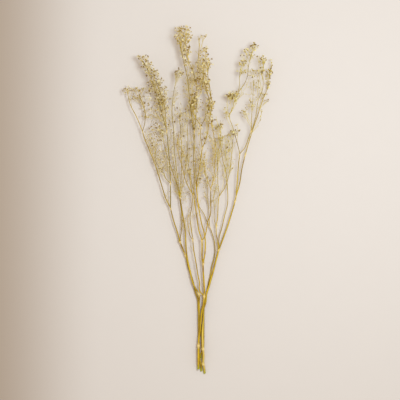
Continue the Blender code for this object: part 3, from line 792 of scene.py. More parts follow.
class SmallForms:
    """The small shapes repeated all over the bunch, each built once with its neck at the origin."""

    SEED = 41
    CALYX_SIDES = 5
    NECK_RADIUS = 0.34
    NECK_DEPTH = 0.2            # how far the calyx reaches below its neck
    CALYX_HOLLOW = 0.75         # how far up the calyx the bottom of its inside is
    TOOTH_FLARE = 0.4           # how far a tooth leans out, as a share of its height
    PETAL_WIDTH = 0.62          # half a petal's width, as a share of its length
    PETAL_ROOT = 0.15           # distance from the floret's middle to a petal's foot
    PETAL_SHOULDER = 0.72       # how far out a petal is widest
    PETAL_MIDDLE = 0.55         # how far out the middles of its two faces are
    PETAL_CUP = 0.12            # how far its sides stand up
    PETAL_CRUMPLE = 0.22        # how far its corners wander up and down
    PETAL_FRONT = 0.05          # how far its front stands off its middle
    PETAL_BACK = 0.12           # and its back
    FRONT_OUT = 0.7             # how far out each of them counts as for the colour
    BACK_OUT = 0.6
    FOOT_OUT = 0.25

    def __init__(self) -> None:
        self.collection = bpy.data.collections.new("forms")
        bpy.context.scene.collection.children.link(self.collection)
        self.random = random.Random(self.SEED)
        for form in (Form.BRACT, *FLORETS):
            self.make(form)

    def make(self, form: Form) -> None:
        """Build one form as an object of the collection.

        Args:
            form: Which form it is.
        """
        mesh = bmesh.new()
        layer = mesh.verts.layers.float.new("petal")
        if form is Form.BRACT:
            self.bract(mesh, layer)
        else:
            self.floret(mesh, layer, FLORETS[form])
        bmesh.ops.recalc_face_normals(mesh, faces=mesh.faces)
        mesh.transform(Matrix.Scale(MILLIMETRE, 4))
        data = bpy.data.meshes.new(f"form_{form.value}_{form.name.lower()}")
        mesh.to_mesh(data)
        mesh.free()
        self.collection.objects.link(bpy.data.objects.new(data.name, data))

    def between(self, low: float, high: float) -> float:
        """A number drawn between two others, or where they are the same, that one without a draw."""
        return self.random.uniform(low, high) if high > low else low

    def floret(self, mesh: bmesh.types.BMesh, layer: bmesh.types.BMLayerItem, floret: Floret) -> None:
        """A calyx with its rings of petals.

        Args:
            mesh: The mesh it goes into.
            layer: The vertex layer that says how far out on a petal a point is.
            floret: Its measures.
        """
        self.calyx(mesh, floret)
        for ring in floret.rings:
            for number in range(ring.petals):
                turn = 2 * math.pi * number / ring.petals + self.between(-ring.wander, ring.wander)
                length = self.between(*ring.length)
                rise = self.between(*ring.rise)
                self.petal(mesh, layer, turn, length, rise, ring.height)

    def calyx(self, mesh: bmesh.types.BMesh, floret: Floret) -> None:
        """The green-brown cup under the petals, with a tooth at each corner of its rim.

        Args:
            mesh: The mesh it goes into.
            floret: Its measures.
        """
        neck = []
        rim = []
        top = Vector((0.0, 0.0, floret.length + floret.tooth))
        for corner in range(self.CALYX_SIDES):
            turn = 2 * math.pi * corner / self.CALYX_SIDES
            out = Vector((math.cos(turn), math.sin(turn), 0.0))
            neck.append(mesh.verts.new(out * self.NECK_RADIUS))
            rim.append(mesh.verts.new(out * (floret.radius + floret.tooth * self.TOOTH_FLARE) + top))
        bottom = mesh.verts.new((0.0, 0.0, -self.NECK_DEPTH))
        inside = mesh.verts.new((0.0, 0.0, floret.length * self.CALYX_HOLLOW))
        for corner in range(self.CALYX_SIDES):
            following = (corner + 1) % self.CALYX_SIDES
            mesh.faces.new((neck[corner], neck[following], rim[following], rim[corner]))
            mesh.faces.new((neck[following], neck[corner], bottom))
            mesh.faces.new((rim[corner], rim[following], inside))

    def petal(self, mesh: bmesh.types.BMesh, layer: bmesh.types.BMLayerItem, turn: float,
              length: float, rise: float, height: float) -> None:
        """A dry petal: a thin closed leaf, cupped along its middle and crumpled.

        Args:
            mesh: The mesh it goes into.
            layer: The vertex layer that says how far out on a petal a point is.
            turn: The way it points round the floret.
            length: Its length.
            rise: Its angle above the floret's rim.
            height: How far up the floret its foot is.
        """
        out = Vector((math.cos(turn), math.sin(turn), 0.0))
        side = Vector((-out.y, out.x, 0.0))
        ahead = out * math.cos(rise) + Vector((0.0, 0.0, math.sin(rise)))
        up = ahead.cross(side) * -1.0
        foot = Vector((0.0, 0.0, height))
        crumple = [self.random.uniform(-self.PETAL_CRUMPLE, self.PETAL_CRUMPLE) * length for _ in range(4)]
        width = length * self.PETAL_WIDTH
        cup = self.PETAL_CUP * length
        shoulder = foot + ahead * length * self.PETAL_SHOULDER
        base = mesh.verts.new(foot + out * self.PETAL_ROOT)
        left = mesh.verts.new(shoulder + side * width + up * (cup + crumple[0]))
        tip = mesh.verts.new(foot + ahead * length + up * crumple[1])
        right = mesh.verts.new(shoulder - side * width + up * (cup + crumple[2]))
        middle = foot + ahead * length * self.PETAL_MIDDLE + up * crumple[3] * 0.5
        front = mesh.verts.new(middle + up * self.PETAL_FRONT)
        back = mesh.verts.new(middle - up * self.PETAL_BACK)
        for corner in (left, tip, right):
            corner[layer] = 1.0
        front[layer] = self.FRONT_OUT
        back[layer] = self.BACK_OUT
        base[layer] = self.FOOT_OUT
        self.close_leaf(mesh, [base, left, tip, right], front, back)

    def bract(self, mesh: bmesh.types.BMesh, layer: bmesh.types.BMLayerItem) -> None:
        """A narrow pointed scale, 1 mm long, which stands along +Z.

        Args:
            mesh: The mesh it goes into.
            layer: The vertex layer that says how far out a point is.
        """
        base = mesh.verts.new((0.0, 0.0, -0.1))
        left = mesh.verts.new((0.17, 0.03, 0.3))
        right = mesh.verts.new((-0.17, 0.03, 0.3))
        tip = mesh.verts.new((0.0, 0.12, 1.0))
        front = mesh.verts.new((0.0, -0.02, 0.35))
        back = mesh.verts.new((0.0, -0.10, 0.35))
        tip[layer] = 1.0
        self.close_leaf(mesh, [base, left, tip, right], front, back)

    @staticmethod
    def close_leaf(mesh: bmesh.types.BMesh, outline: list[bmesh.types.BMVert],
                   front: bmesh.types.BMVert, back: bmesh.types.BMVert) -> None:
        """Close a thin leaf with faces.

        Args:
            mesh: The mesh it is in.
            outline: The points round it.
            front: The point that the faces of its front share.
            back: The point that those of its back share.
        """
        for first, second in zip(outline, outline[1:] + outline[:1]):
            mesh.faces.new((first, second, front))
            mesh.faces.new((second, first, back))

    def remove(self) -> None:
        """Take the forms out of the scene once every copy is made."""
        for shape in list(self.collection.objects):
            bpy.data.objects.remove(shape)
        bpy.data.collections.remove(self.collection)


# Patterns that more than one finish has
BROAD_STREAK = 0.35         # scale of the broad streaks against the fine ones
BROAD_SHARE = 0.7           # how much of the streaks is broad
STREAK_LEVELS = (0.42, 0.62)
BLOTCH_LEVEL = 0.78         # level of noise past which a blotch starts where the cover is 0
BLOTCH_REACH = 0.5          # how much a full cover lowers it
BLOTCH_EDGE = 0.12          # how soft a blotch's edge is


def grain_group() -> bpy.types.NodeTree:
    """Streaks that run along a dry stem, with the fine ridges that they stand on."""
    build = new_group(
        "Dry grain", "ShaderNodeTree",
        {"Place": "NodeSocketVector", "Fineness": "NodeSocketFloat", "Stretch": "NodeSocketFloat"},
        {"Streak": "NodeSocketFloat", "Height": "NodeSocketFloat"})
    given = build.add("NodeGroupInput").outputs
    lengthwise = build.math("DIVIDE", given["Fineness"], given["Stretch"])
    scale = build.add("ShaderNodeCombineXYZ", {0: given["Fineness"], 1: given["Fineness"],
                                               2: lengthwise}).outputs[0]
    place = build.vector("MULTIPLY", given["Place"], scale)
    broad = build.noise(place, BROAD_STREAK, 3.0)
    fine = build.noise(place, 1.0, 4.0)
    both = build.math("ADD", build.times(broad, BROAD_SHARE), build.times(fine, 1.0 - BROAD_SHARE))
    build.add("NodeGroupOutput", {0: build.spread(both, *STREAK_LEVELS), 1: fine})
    return build.tree


def blotch_group() -> bpy.types.NodeTree:
    """Soft blotches, as where a dried plant has browned."""
    build = new_group(
        "Blotches", "ShaderNodeTree",
        {"Place": "NodeSocketVector", "Size": "NodeSocketFloat", "Cover": "NodeSocketFloat"},
        {"Mask": "NodeSocketFloat"})
    given = build.add("NodeGroupInput").outputs
    noise = build.noise(given["Place"], build.math("DIVIDE", 1.0, given["Size"]), 3.0)
    start = build.math("SUBTRACT", BLOTCH_LEVEL, build.times(given["Cover"], BLOTCH_REACH))
    end = build.math("ADD", start, BLOTCH_EDGE)
    build.add("NodeGroupOutput", {0: build.spread(noise, start, end)})
    return build.tree


def start_material(name: str) -> tuple[bpy.types.Material, NodeBuilder, bpy.types.Node]:
    """Start a material.

    Args:
        name: Its name.

    Returns:
        The material, a builder on its nodes, and its shader.
    """
    material = bpy.data.materials.new(name)
    material.use_nodes = True
    tree = material.node_tree
    return material, NodeBuilder(tree), tree.nodes["Principled BSDF"]


@dataclass(frozen=True)
class Finish:
    """What all finishes of the plant share."""

    def make(self, name: str) -> bpy.types.Material:
        """The finish as a material of that name."""
        material, build, shader = start_material(name)
        self.paint(build, shader)
        return material

    def paint(self, build: NodeBuilder, shader: bpy.types.Node) -> None:
        """Add the finish's own nodes and feed the shader from them.

        Args:
            build: A builder on the material's nodes.
            shader: Its shader.
        """
        raise NotImplementedError


@dataclass(frozen=True)
class StemFinish(Finish):
    """Dry straw-coloured stem: lengthwise streaks, browned blotches, pale joints and green cut ends, with
    painted shade on its rims.
    """

    straw: Colour
    # the dark of the streaks, and of the painted shade on the rims
    shade: Colour
    brown: Colour
    thin: Colour
    joint: Colour
    cut: Colour = (0.42, 0.42, 0.020, 1.0)
    pith: Colour = (0.72, 0.66, 0.36, 1.0)
    roughness: tuple[float, float] = (0.42, 0.62)
    fineness: float = 1500.0    # of the streaks
    stretch: float = 20.0
    streaked: float = 0.80      # how strong the streaks, the blotches and the painted shade on the rim are
    blotched: float = 0.6
    painted_rim_shade: float = 0.95
    blotch_size: float = 0.016
    blotch_cover: float = 0.42
    painted_rim_width: float = 0.4
    shine: float = 0.25
    relief: tuple[float, float] = (0.5, 0.0002)         # of the grain: strength, and depth in metres

    def paint(self, build: NodeBuilder, shader: bpy.types.Node) -> None:
        """Streak and blotch the skin, paint shade on its rims where it turns from view, and colour its cuts
        and joints.

        Args:
            build: A builder on the material's nodes.
            shader: Its shader.
        """
        place = build.attribute("skin", 1)
        grain = build.group("Dry grain", {"Place": place, "Fineness": self.fineness,
                                          "Stretch": self.stretch})
        blotch = build.group("Blotches", {"Place": place, "Size": self.blotch_size,
                                          "Cover": self.blotch_cover})["Mask"]
        colour = build.mix(build.times(grain["Streak"], self.streaked), self.straw, self.shade)
        colour = build.mix(build.times(blotch, self.blotched), colour, self.brown)
        colour = build.mix(build.attribute("brown"), colour, self.thin)
        # Painted shade: the skin darkens towards its outline as seen, so each stem shows a dark rim
        rim = build.add("ShaderNodeLayerWeight", {"Blend": self.painted_rim_width}).outputs["Facing"]
        colour = build.mix(build.times(rim, self.painted_rim_shade), colour, self.shade)
        for mask, tint in (("cut", self.cut), ("joint", self.joint), ("pith", self.pith)):
            colour = build.mix(build.attribute(mask), colour, tint)
        rough = build.spread(grain["Streak"], 0.0, 1.0, self.roughness)
        build.feed(shader, {"Base Color": colour, "Roughness": rough, "Specular IOR Level": self.shine,
                            "Normal": build.bump(grain["Height"], *self.relief)})


@dataclass(frozen=True)
class TwigFinish(Finish):
    """Fine dry twigs, paler than the stems, each stretch in its own tone."""

    pale: Colour
    dark: Colour
    roughness: float = 0.62
    fineness: float = 3800.0    # of the streaks
    stretch: float = 14.0
    streaked: float = 0.45      # how much the streaks darken it, and how much its tone does
    toned: float = 0.5
    relief: tuple[float, float] = (0.35, 0.0001)        # of the grain: strength, and depth in metres

    def paint(self, build: NodeBuilder, shader: bpy.types.Node) -> None:
        """Streak the skin and darken it by its tone.

        Args:
            build: A builder on the material's nodes.
            shader: Its shader.
        """
        grain = build.group("Dry grain", {"Place": build.attribute("skin", 1), "Fineness": self.fineness,
                                          "Stretch": self.stretch})
        share = build.math("ADD", build.times(grain["Streak"], self.streaked),
                           build.times(build.attribute("tone"), self.toned))
        build.feed(shader, {"Base Color": build.mix(share, self.pale, self.dark),
                            "Roughness": self.roughness,
                            "Normal": build.bump(grain["Height"], *self.relief)})


@dataclass(frozen=True)
class FloretFinish(Finish):
    """Papery dried florets: olive-brown calyx, tan petals with paler edges, each in its own tone."""

    calyx: Colour
    petal: Colour
    edge: Colour
    brown: Colour
    browned: float              # the share that has browned
    roughness: float = 0.8
    sheen: float = 0.15
    blotched: float = 0.55      # how strong the blotches are
    blotch_size: float = 0.0011
    blotch_cover: float = 0.55
    vein_fineness: float = 2400.0
    tone_edge: float = 0.16     # how soft the step to the browned ones is
    darkest: float = 0.90       # how far the brownest have browned
    bleached: tuple[float, float] = (0.38, 0.20)        # tones between which the palest bleach
    palest: float = 0.85        # how far they have
    calyx_ends: tuple[float, float] = (0.0, 0.45)       # how far out a petal's own colour comes in
    edge_starts: tuple[float, float] = (0.55, 1.0)      # and its edge's
    relief: tuple[float, float] = (0.4, 0.0002)         # of the veins: strength, and depth in metres

    def paint(self, build: NodeBuilder, shader: bpy.types.Node) -> None:
        """Colour calyx, petal and edge, blotch them, then brown or bleach them by the tone.

        Args:
            build: A builder on the material's nodes.
            shader: Its shader.
        """
        place = build.add("ShaderNodeTexCoord").outputs["Object"]
        blotch = build.group("Blotches", {"Place": place, "Size": self.blotch_size,
                                          "Cover": self.blotch_cover})["Mask"]
        veins = build.noise(place, self.vein_fineness, 3.0)
        out = build.attribute("petal")
        colour = build.mix(build.spread(out, *self.calyx_ends), self.calyx, self.petal)
        colour = build.mix(build.spread(out, *self.edge_starts), colour, self.edge)
        colour = build.mix(build.times(blotch, self.blotched), colour, self.brown)
        tone = build.attribute("tone")
        fresh = 1.0 - self.browned
        browned = build.spread(tone, fresh, fresh + self.tone_edge)
        colour = build.mix(build.times(browned, self.darkest), colour, self.brown)
        bleached = build.spread(tone, *self.bleached)
        colour = build.mix(build.times(bleached, self.palest), colour, self.edge)
        build.feed(shader, {"Base Color": colour, "Roughness": self.roughness, "Sheen Weight": self.sheen,
                            "Normal": build.bump(veins, *self.relief)})


@dataclass(frozen=True)
class SprayFinish:
    """The finishes of one spray's stems, twigs, bracts and florets."""

    stem: StemFinish
    twig: TwigFinish
    bract: FloretFinish
    floret: FloretFinish


LIGHTEST = 0.95             # no colour's parts are lighter


def spray_finish(warmth: float, light: float, green: float, browned: float) -> SprayFinish:
    """The finishes of a spray, from how yellow and how light it has dried.

    Args:
        warmth: 0 for greyish tan, 1 for golden yellow.
        light: A factor on every colour.
        green: A factor on the green of every colour.
        browned: The share of its florets that has browned.

    Returns:
        The finishes.
    """
    def between(cool: tuple[float, float, float], warm: tuple[float, float, float],
                share: float = warmth) -> Colour:
        """Mix two colours, in this light.

        Args:
            cool: The colour where the share is 0.
            warm: The colour where it is 1.
            share: How far between them.

        Returns:
            The colour.
        """
        tints = (light, light * green, light)
        mixed = (a + (b - a) * share for a, b in zip(cool, warm))
        red, leaf, blue = (min(tint * value, LIGHTEST) for tint, value in zip(tints, mixed))
        return red, leaf, blue, 1.0

    golden = (1.0 + warmth) / 2
    stem = StemFinish(
        straw=between((0.69, 0.52, 0.05), (0.82, 0.55, 0.020), golden),
        shade=between((0.16, 0.10, 0.010), (0.19, 0.095, 0.004), golden),
        brown=between((0.19, 0.10, 0.015), (0.25, 0.085, 0.005), golden),
        thin=between((0.26, 0.195, 0.025), (0.31, 0.22, 0.012), golden),
        joint=between((0.94, 0.74, 0.34), (0.95, 0.69, 0.25), golden))
    twig = TwigFinish(
        pale=between((0.82, 0.69, 0.33), (0.82, 0.65, 0.17)),
        dark=between((0.48, 0.38, 0.13), (0.48, 0.36, 0.05)))
    floret = FloretFinish(
        calyx=between((0.34, 0.22, 0.045), (0.37, 0.22, 0.012)),
        petal=between((0.91, 0.71, 0.34), (0.92, 0.68, 0.15)),
        edge=between((0.95, 0.85, 0.62), (0.95, 0.82, 0.46)),
        brown=between((0.27, 0.16, 0.028), (0.29, 0.155, 0.006)),
        browned=browned)
    bract = FloretFinish(
        calyx=between((0.54, 0.42, 0.15), (0.58, 0.42, 0.09)),
        petal=between((0.66, 0.54, 0.24), (0.68, 0.52, 0.15)),
        edge=between((0.78, 0.67, 0.38), (0.80, 0.65, 0.27)),
        brown=between((0.38, 0.27, 0.10), (0.40, 0.26, 0.05)),
        browned=browned)
    return SprayFinish(stem, twig, bract, floret)


@dataclass
class Spray:
    """One cut spray: its stems and heads, and how it is laid, grown and dressed."""

    name: str
    seed: int
    warmth: float
    light: float
    green: float
    browned: float
    stems: list[Stem]
    heads: list[Head]

    def stem(self, name: str) -> Stem:
        """The stem of that name."""
        return next(stem for stem in self.stems if stem.name == name)

    def forks(self, stem: Stem, flat: np.ndarray) -> list[int]:
        """Which steps of a stem its side branches grow from."""
        roots = [np.array(child.route[0]) for child in self.stems if child.parent == stem.name]
        return [int(np.linalg.norm(flat - root, axis=1).argmin()) for root in roots]

    def lift(self, flat: np.ndarray, heights: np.ndarray, radii: np.ndarray,
             laid: np.ndarray) -> np.ndarray:
        """How much each step of a stem must rise to lie on the stems of other sprays that it crosses.

        Args:
            flat: Rows of (x, y) of the stem.
            heights: Its heights before it is lifted.
            radii: Its radii.
            laid: Rows of (x, y, z, radius) of what lies there already.

        Returns:
            The rise at each step.
        """
        if not len(laid):
            return np.zeros(len(flat))
        away = np.linalg.norm(flat[:, None, :] - laid[None, :, :2], axis=2)
        touch = radii[:, None] + laid[None, :, 3] + CLEARANCE
        over = laid[None, :, 2] + np.sqrt(np.maximum(touch ** 2 - away ** 2, 0.0)) - heights[:, None]
        missing = np.maximum(np.where(away < touch, over, 0.0).max(axis=1), 0.0)
        half = round(LIFT_LENGTH / ROUTE_STEP)
        windows = np.lib.stride_tricks.sliding_window_view
        widest = windows(np.pad(missing, half, mode="edge"), 2 * half + 1).max(axis=1)
        return windows(np.pad(widest, half, mode="edge"), 2 * half + 1).mean(axis=1)

    def lay(self, laid: np.ndarray) -> np.ndarray:
        """Lay the spray's stems on what lies there already.

        Args:
            laid: Rows of (x, y, z, radius) of the stems laid before.

        Returns:
            The same rows with this spray's own after them.
        """
        for stem in self.stems:
            flat = stem.flat_path()
            near = stem.swollen(self.forks(stem, flat), len(flat), SWELLING_LENGTH)
            radii = stem.taper(len(flat)) * (1.0 + SWELLING * near)
            root_height = stem.radius[0]
            if stem.parent:
                parent = self.stem(stem.parent).path
                root_height = parent[np.linalg.norm(parent[:, :2] - flat[0], axis=1).argmin(), 2]
            heights = np.linspace(root_height, stem.height, len(flat))
            rise = self.lift(flat, heights, radii, laid)
            if stem.parent:
                rise *= np.clip(np.arange(len(flat)) * ROUTE_STEP / ROOT_LENGTH, 0.0, 1.0)
            stem.path = np.column_stack((flat, heights + rise, radii))
        return np.concatenate([laid] + [stem.path for stem in self.stems])

    def draw_stem(self, stem: Stem, lines: Lines, grower: TwigGrower) -> None:
        """Add a stem's line, with its swollen joints and their bracts.

        Args:
            stem: The stem.
            lines: What its line goes into.
            grower: What its bracts go into.
        """
        path = stem.path
        count = len(path)
        joints = self.forks(stem, path[:, :2]) + stem.joint_places()
        swelling = np.sqrt(stem.swollen(joints, count, JOINT_LENGTH)) * JOINT_SWELLING
        radii = stem.taper(count) * (1.0 + swelling)
        pale = stem.swollen(joints, count, JOINT_COLOUR_LENGTH)
        fade = np.clip(np.linspace(BLEACH_FADE, -BLEACH_FADE, count), 0.0, 1.0)
        pale = np.maximum(pale, stem.bleached * fade)
        cut = np.zeros(count) if stem.parent else stem.swollen([0], count, CUT_COLOUR_LENGTH)
        pale = pale * (1.0 - cut)
        near = {joint + step for joint in joints for step in range(-JOINT_POINTS, JOINT_POINTS + 1)}
        chosen = sorted(set(range(0, count, POINT_SPACING)) | {count - 1} | near & set(range(count)))
        places = path[chosen, :3]
        radii = radii[chosen]
        pale = pale[chosen]
        cut = cut[chosen]
        pith = np.zeros(len(chosen))
        if not stem.parent:
            way = unit(path[1, :3] - path[0, :3])
            places = np.vstack((places[0], places[0] + way * RIM_DEPTH, places[1:]))
            radii = np.concatenate(([radii[0] * PITH_SHARE], radii))
            pale = np.concatenate((pale[:1], pale))
            cut = np.concatenate((cut[:1], cut))
            pith = np.concatenate(([1.0], pith))
        brown = np.clip(stem.brown + THIN_BROWNING * (1.0 - radii), 0.0, 1.0)
        lines.add(places, thickness=radii, joint=pale, cut=cut, pith=pith, brown=brown,
                  tone=grower.random.random())
        for joint in joints:
            step = min(joint, count - 2)
            heading = unit(path[step + 1, :3] - path[step, :3])
            length = STEM_BRACT[0] * path[step, 3] + STEM_BRACT[1]
            grower.add_bracts(path[step, :3], heading, length, path[step, 3])

    def build(self, forms: SmallForms, skin: bpy.types.NodeTree, sitting: bpy.types.NodeTree) -> None:
        """Grow the spray and dress it.

        Args:
            forms: The small shapes that sit on its twigs.
            skin: The tree that puts a skin on lines.
            sitting: The tree that sets forms on points.
        """
        grower = TwigGrower(self.seed)
        lines = Lines()
        for stem in self.stems:
            self.draw_stem(stem, lines, grower)
        for head in self.heads:
            grower.grow_head(head, self.stem(head.stem).path[:, :3])
        for stem in self.stems:
            grower.grow_fringe(stem)
            grower.grow_threads(stem)
        finish = spray_finish(self.warmth, self.light, self.green, self.browned)
        skinned = {"Seed": float(self.seed), "Shrivel length": SHRIVEL_LENGTH * MILLIMETRE}
        stem_skin = skinned | {"Sides": STEM_SIDES, "Shrivel": STEM_SHRIVEL}
        twig_skin = skinned | {"Sides": TWIG_SIDES, "Shrivel": TWIG_SHRIVEL}
        seated = {"Seed": self.seed, "Forms": forms.collection}
        for label, drawn, tree, look, settings in (
                ("stem", lines, skin, finish.stem, stem_skin),
                ("twig", grower.twigs, skin, finish.twig, twig_skin),
                ("bract", grower.bracts, sitting, finish.bract, seated),
                ("floret", grower.florets, sitting, finish.floret, seated)):
            piece = drawn.make_object(f"{self.name}_{label}s")
            material = look.make(f"{self.name}_{label}_finish")
            grow_by_tree(piece, tree, settings | {"Finish": material})
            if tree is skin:
                piece.data.shade_smooth()
                piece.data.set_sharp_from_angle(angle=SHARP_ANGLE)
            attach(piece, BODY)
            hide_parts(self.name)
            LOG.info("%s: %d faces", piece.name, len(piece.data.polygons))
        LOG.info("%s: %d florets", self.name, len(grower.florets.places))


LEFT = Spray(
    "spray_left", 51, warmth=0.55, light=1.06, green=0.985, browned=0.40,
    stems=[
        Stem("foot", [(3.4, -254), (3.2, -250), (5.6, -243), (5.6, -238), (3.5, -200), (0, -176),
                      (-1.3, -157), (-4.2, -149), (-9.6, -127), (-15.7, -109), (-20.8, -88),
                      (-24.8, -78.6), (-29.8, -65.6)], (1.5, 1.15), 7, joints=(-238, -88), brown=0.3),
        Stem("arm", [(-29.8, -65.6), (-32.8, -54), (-38.6, -36), (-43.5, -18), (-44.8, -11.5)],
             (1.05, 0.9), 10, "foot", brown=0.3),
        Stem("reach", [(-44.8, -11.5), (-51.7, 2), (-60, 28), (-71, 62), (-82, 89), (-88, 105),
                       (-89.4, 111)], (0.85, 0.7), 14, "arm", fringe=2, threads=2, bare=-1, brown=0.25),
        Stem("far_tip", [(-89.4, 111), (-100.6, 137), (-108, 151), (-114, 174)], (0.65, 0.5), 12,
             "reach", threads=1, brown=0.2),
        Stem("far_side", [(-89.4, 111), (-86, 124), (-86, 145), (-95, 168)], (0.55, 0.45), 10, "reach",
             fringe=2, threads=2, brown=0.2),
        Stem("rise", [(-44.8, -11.5), (-44.6, 2), (-45, 28), (-45.6, 49), (-47, 70), (-48.6, 89),
                      (-50.6, 110), (-58, 137), (-64.6, 161), (-72.6, 185), (-80, 207), (-88, 222)],
             (0.8, 0.45), 24, "arm", fringe=6, threads=3, brown=0.95),
        Stem("second_rise", [(-50.6, 110), (-52, 125), (-54, 150), (-61, 172), (-68, 190)],
             (0.55, 0.45), 24, "rise", fringe=5, threads=3, brown=0.3),
        Stem("side", [(-45, 28), (-50.6, 33), (-56.8, 45), (-69, 64), (-68, 84)], (0.5, 0.42), 14,
             "rise", fringe=3, threads=2, brown=0.6),
        Stem("inner", [(-29.8, -65.6), (-27.5, -50), (-26.7, -38), (-26.7, -25), (-29, -5), (-33, 20),
                       (-38, 50), (-43, 80)], (0.7, 0.42), 14, "foot", fringe=3, threads=2, brown=0.3,
             threads_from=0.05),
    ],
    heads=[
        Head("far_tip", (-114, 177), (6, 6, 12), 15, FADED),
        Head("far_side", (-98, 177), (12, 4, 12), 13, FADED),
        Head("far_side", (-98, 166), (12, 5, 12), 14, FADED),
        Head("far_side", (-84, 143), (9, 14, 8), 12, FADED),
        Head("rise", (-88, 227), (10, 5, 9), 24),
        Head("rise", (-82, 216), (11, 7, 12), 33),
        Head("rise", (-74, 204), (11, 7, 13), 38),
        Head("second_rise", (-69, 190), (13, 9, 13), 42),
        Head("second_rise", (-63, 176), (15, 8, 12), 42),
        Head("second_rise", (-58, 160), (13, 9, 11), 36),
        Head("rise", (-62, 143), (15, 16, 10), 28),
        Head("side", (-69, 88), (7, 8, 5), 12),
        Head("rise", (-69, 116), (9, 8, 6), 14),
        Head("side", (-55, 46), (4, 4, 4), 4),
        Head("inner", (-38, 80), (12, 30, 9), 9),
        Head("side", (-62, 62), (9, 22, 5), 16, HAZE),
        Head("inner", (-36, 45), (8, 30, 6), 8, HAZE),
        Head("reach", (-78, 98), (9, 22, 6), 12, HAZE),
        Head("second_rise", (-58, 122), (13, 22, 9), 30, HAZE),
        Head("rise", (-48, 80), (9, 35, 8), 13, HAZE),
        Head("rise", (-50, 8), (6, 12, 6), 10, HAZE),
        Head("second_rise", (-81, 170), (7, 17, 9), 17),
        Head("rise", (-75, 136), (12, 12, 8), 18, HAZE),
        Head("side", (-60, 72), (7, 14, 6), 12, HAZE),
        Head("side", (-67, 99), (11, 6, 6), 9, FADED),
    ],
)

INNER = Spray(
    "spray_inner", 12, warmth=0.5, light=1.0, green=1.0, browned=0.35,
    stems=[
        Stem("foot", [(6.1, -257), (8, -235), (8.5, -205), (10, -164), (13, -150), (15.5, -137),
                      (19.5, -119), (22, -104), (25, -93.6), (26.7, -83.7), (25.3, -65), (22, -53),
                      (18, -42), (13.8, -34), (9, -22), (2.6, -12), (0, -7)], (1.45, 0.5), 7, brown=0.1),
        Stem("lean", [(0, -7), (-6, 10), (-12, 35), (-17, 65), (-19, 95)], (0.55, 0.42), 12, "foot",
             fringe=2, threads=1),
        Stem("rise", [(0, -7), (-3, 15), (-4, 45), (-6, 80), (-9, 115), (-11, 146)], (0.65, 0.45), 14,
             "foot", fringe=3, threads=1),
        Stem("side", [(18, -42), (17, -20), (15, 5), (14, 26)], (0.5, 0.42), 9, "foot", fringe=2,
             threads=1, threads_from=0.3),
    ],
    heads=[
        Head("lean", (-18, 75), (8, 25, 8), 9),
        Head("rise", (-9, 138), (6, 20, 9), 14),
        Head("side", (13.8, 33), (5, 5, 5), 5),
        Head("lean", (-14, 47), (3, 3, 3), 4),
        Head("rise", (3.4, 32), (3, 6, 4), 5),
        Head("lean", (-14, 50), (8, 35, 7), 8, HAZE),
        Head("rise", (-5, 75), (8, 42, 7), 13, HAZE),
    ],
)

MID_LEFT = Spray(
    "spray_mid_left", 13, warmth=0.45, light=1.06, green=1.0, browned=0.36,
    stems=[
        Stem("foot", [(4.8, -274.4), (4, -266), (3.2, -260), (1.9, -256), (1, -239), (0.8, -212),
                      (0.8, -191), (1.1, -164), (0.8, -150), (-6, -139), (-13.4, -113), (-19.2, -84),
                      (-20.8, -55), (-22, -42), (-25.3, -22), (-28.8, 1), (-29.4, 5.6)],
             (1.75, 0.95), 12, joints=(-150,)),
        Stem("outer_fan", [(-29.4, 5.6), (-36, 30), (-46, 60), (-55, 90), (-58, 114)], (0.55, 0.42), 15,
             "foot", fringe=3, threads=1),
        Stem("long_fan", [(-29.4, 5.6), (-33, 35), (-38, 75), (-40, 116), (-42, 141), (-39, 175),
                          (-34, 200)], (0.6, 0.32), 22, "foot", fringe=5, threads=1, brown=0.4),
        Stem("middle_fan", [(-29.4, 5.6), (-28, 35), (-27, 70), (-28, 105), (-31, 138)], (0.6, 0.42),
             17, "foot", fringe=2, threads=1),
        Stem("inner_fan", [(-29.4, 5.6), (-24, 30), (-20, 60), (-17, 95), (-18, 122)], (0.5, 0.42), 17,
             "foot", fringe=2, threads=1),
    ],
    heads=[
        Head("outer_fan", (-59, 110), (10, 16, 8), 16),
        Head("long_fan", (-30, 204), (7, 7, 8), 26),
        Head("long_fan", (-42, 140), (9, 25, 10), 8),
        Head("long_fan", (-36, 168), (8, 15, 8), 13, HAZE),
        Head("middle_fan", (-29, 135), (9, 25, 10), 14),
        Head("inner_fan", (-20, 125), (8, 25, 8), 12),
        Head("outer_fan", (-50, 75), (12, 32, 7), 22, HAZE),
        Head("long_fan", (-38, 95), (9, 50, 8), 12, HAZE),
        Head("middle_fan", (-29, 105), (11, 38, 8), 12, HAZE),
        Head("inner_fan", (-20, 85), (9, 42, 8), 9, HAZE),
        Head("inner_fan", (-21, 5), (7, 13, 5), 16, HAZE),
        Head("outer_fan", (-35, 24), (6, 16, 6), 14, HAZE),
        Head("middle_fan", (-27, 22), (6, 18, 6), 13, HAZE),
    ],
)

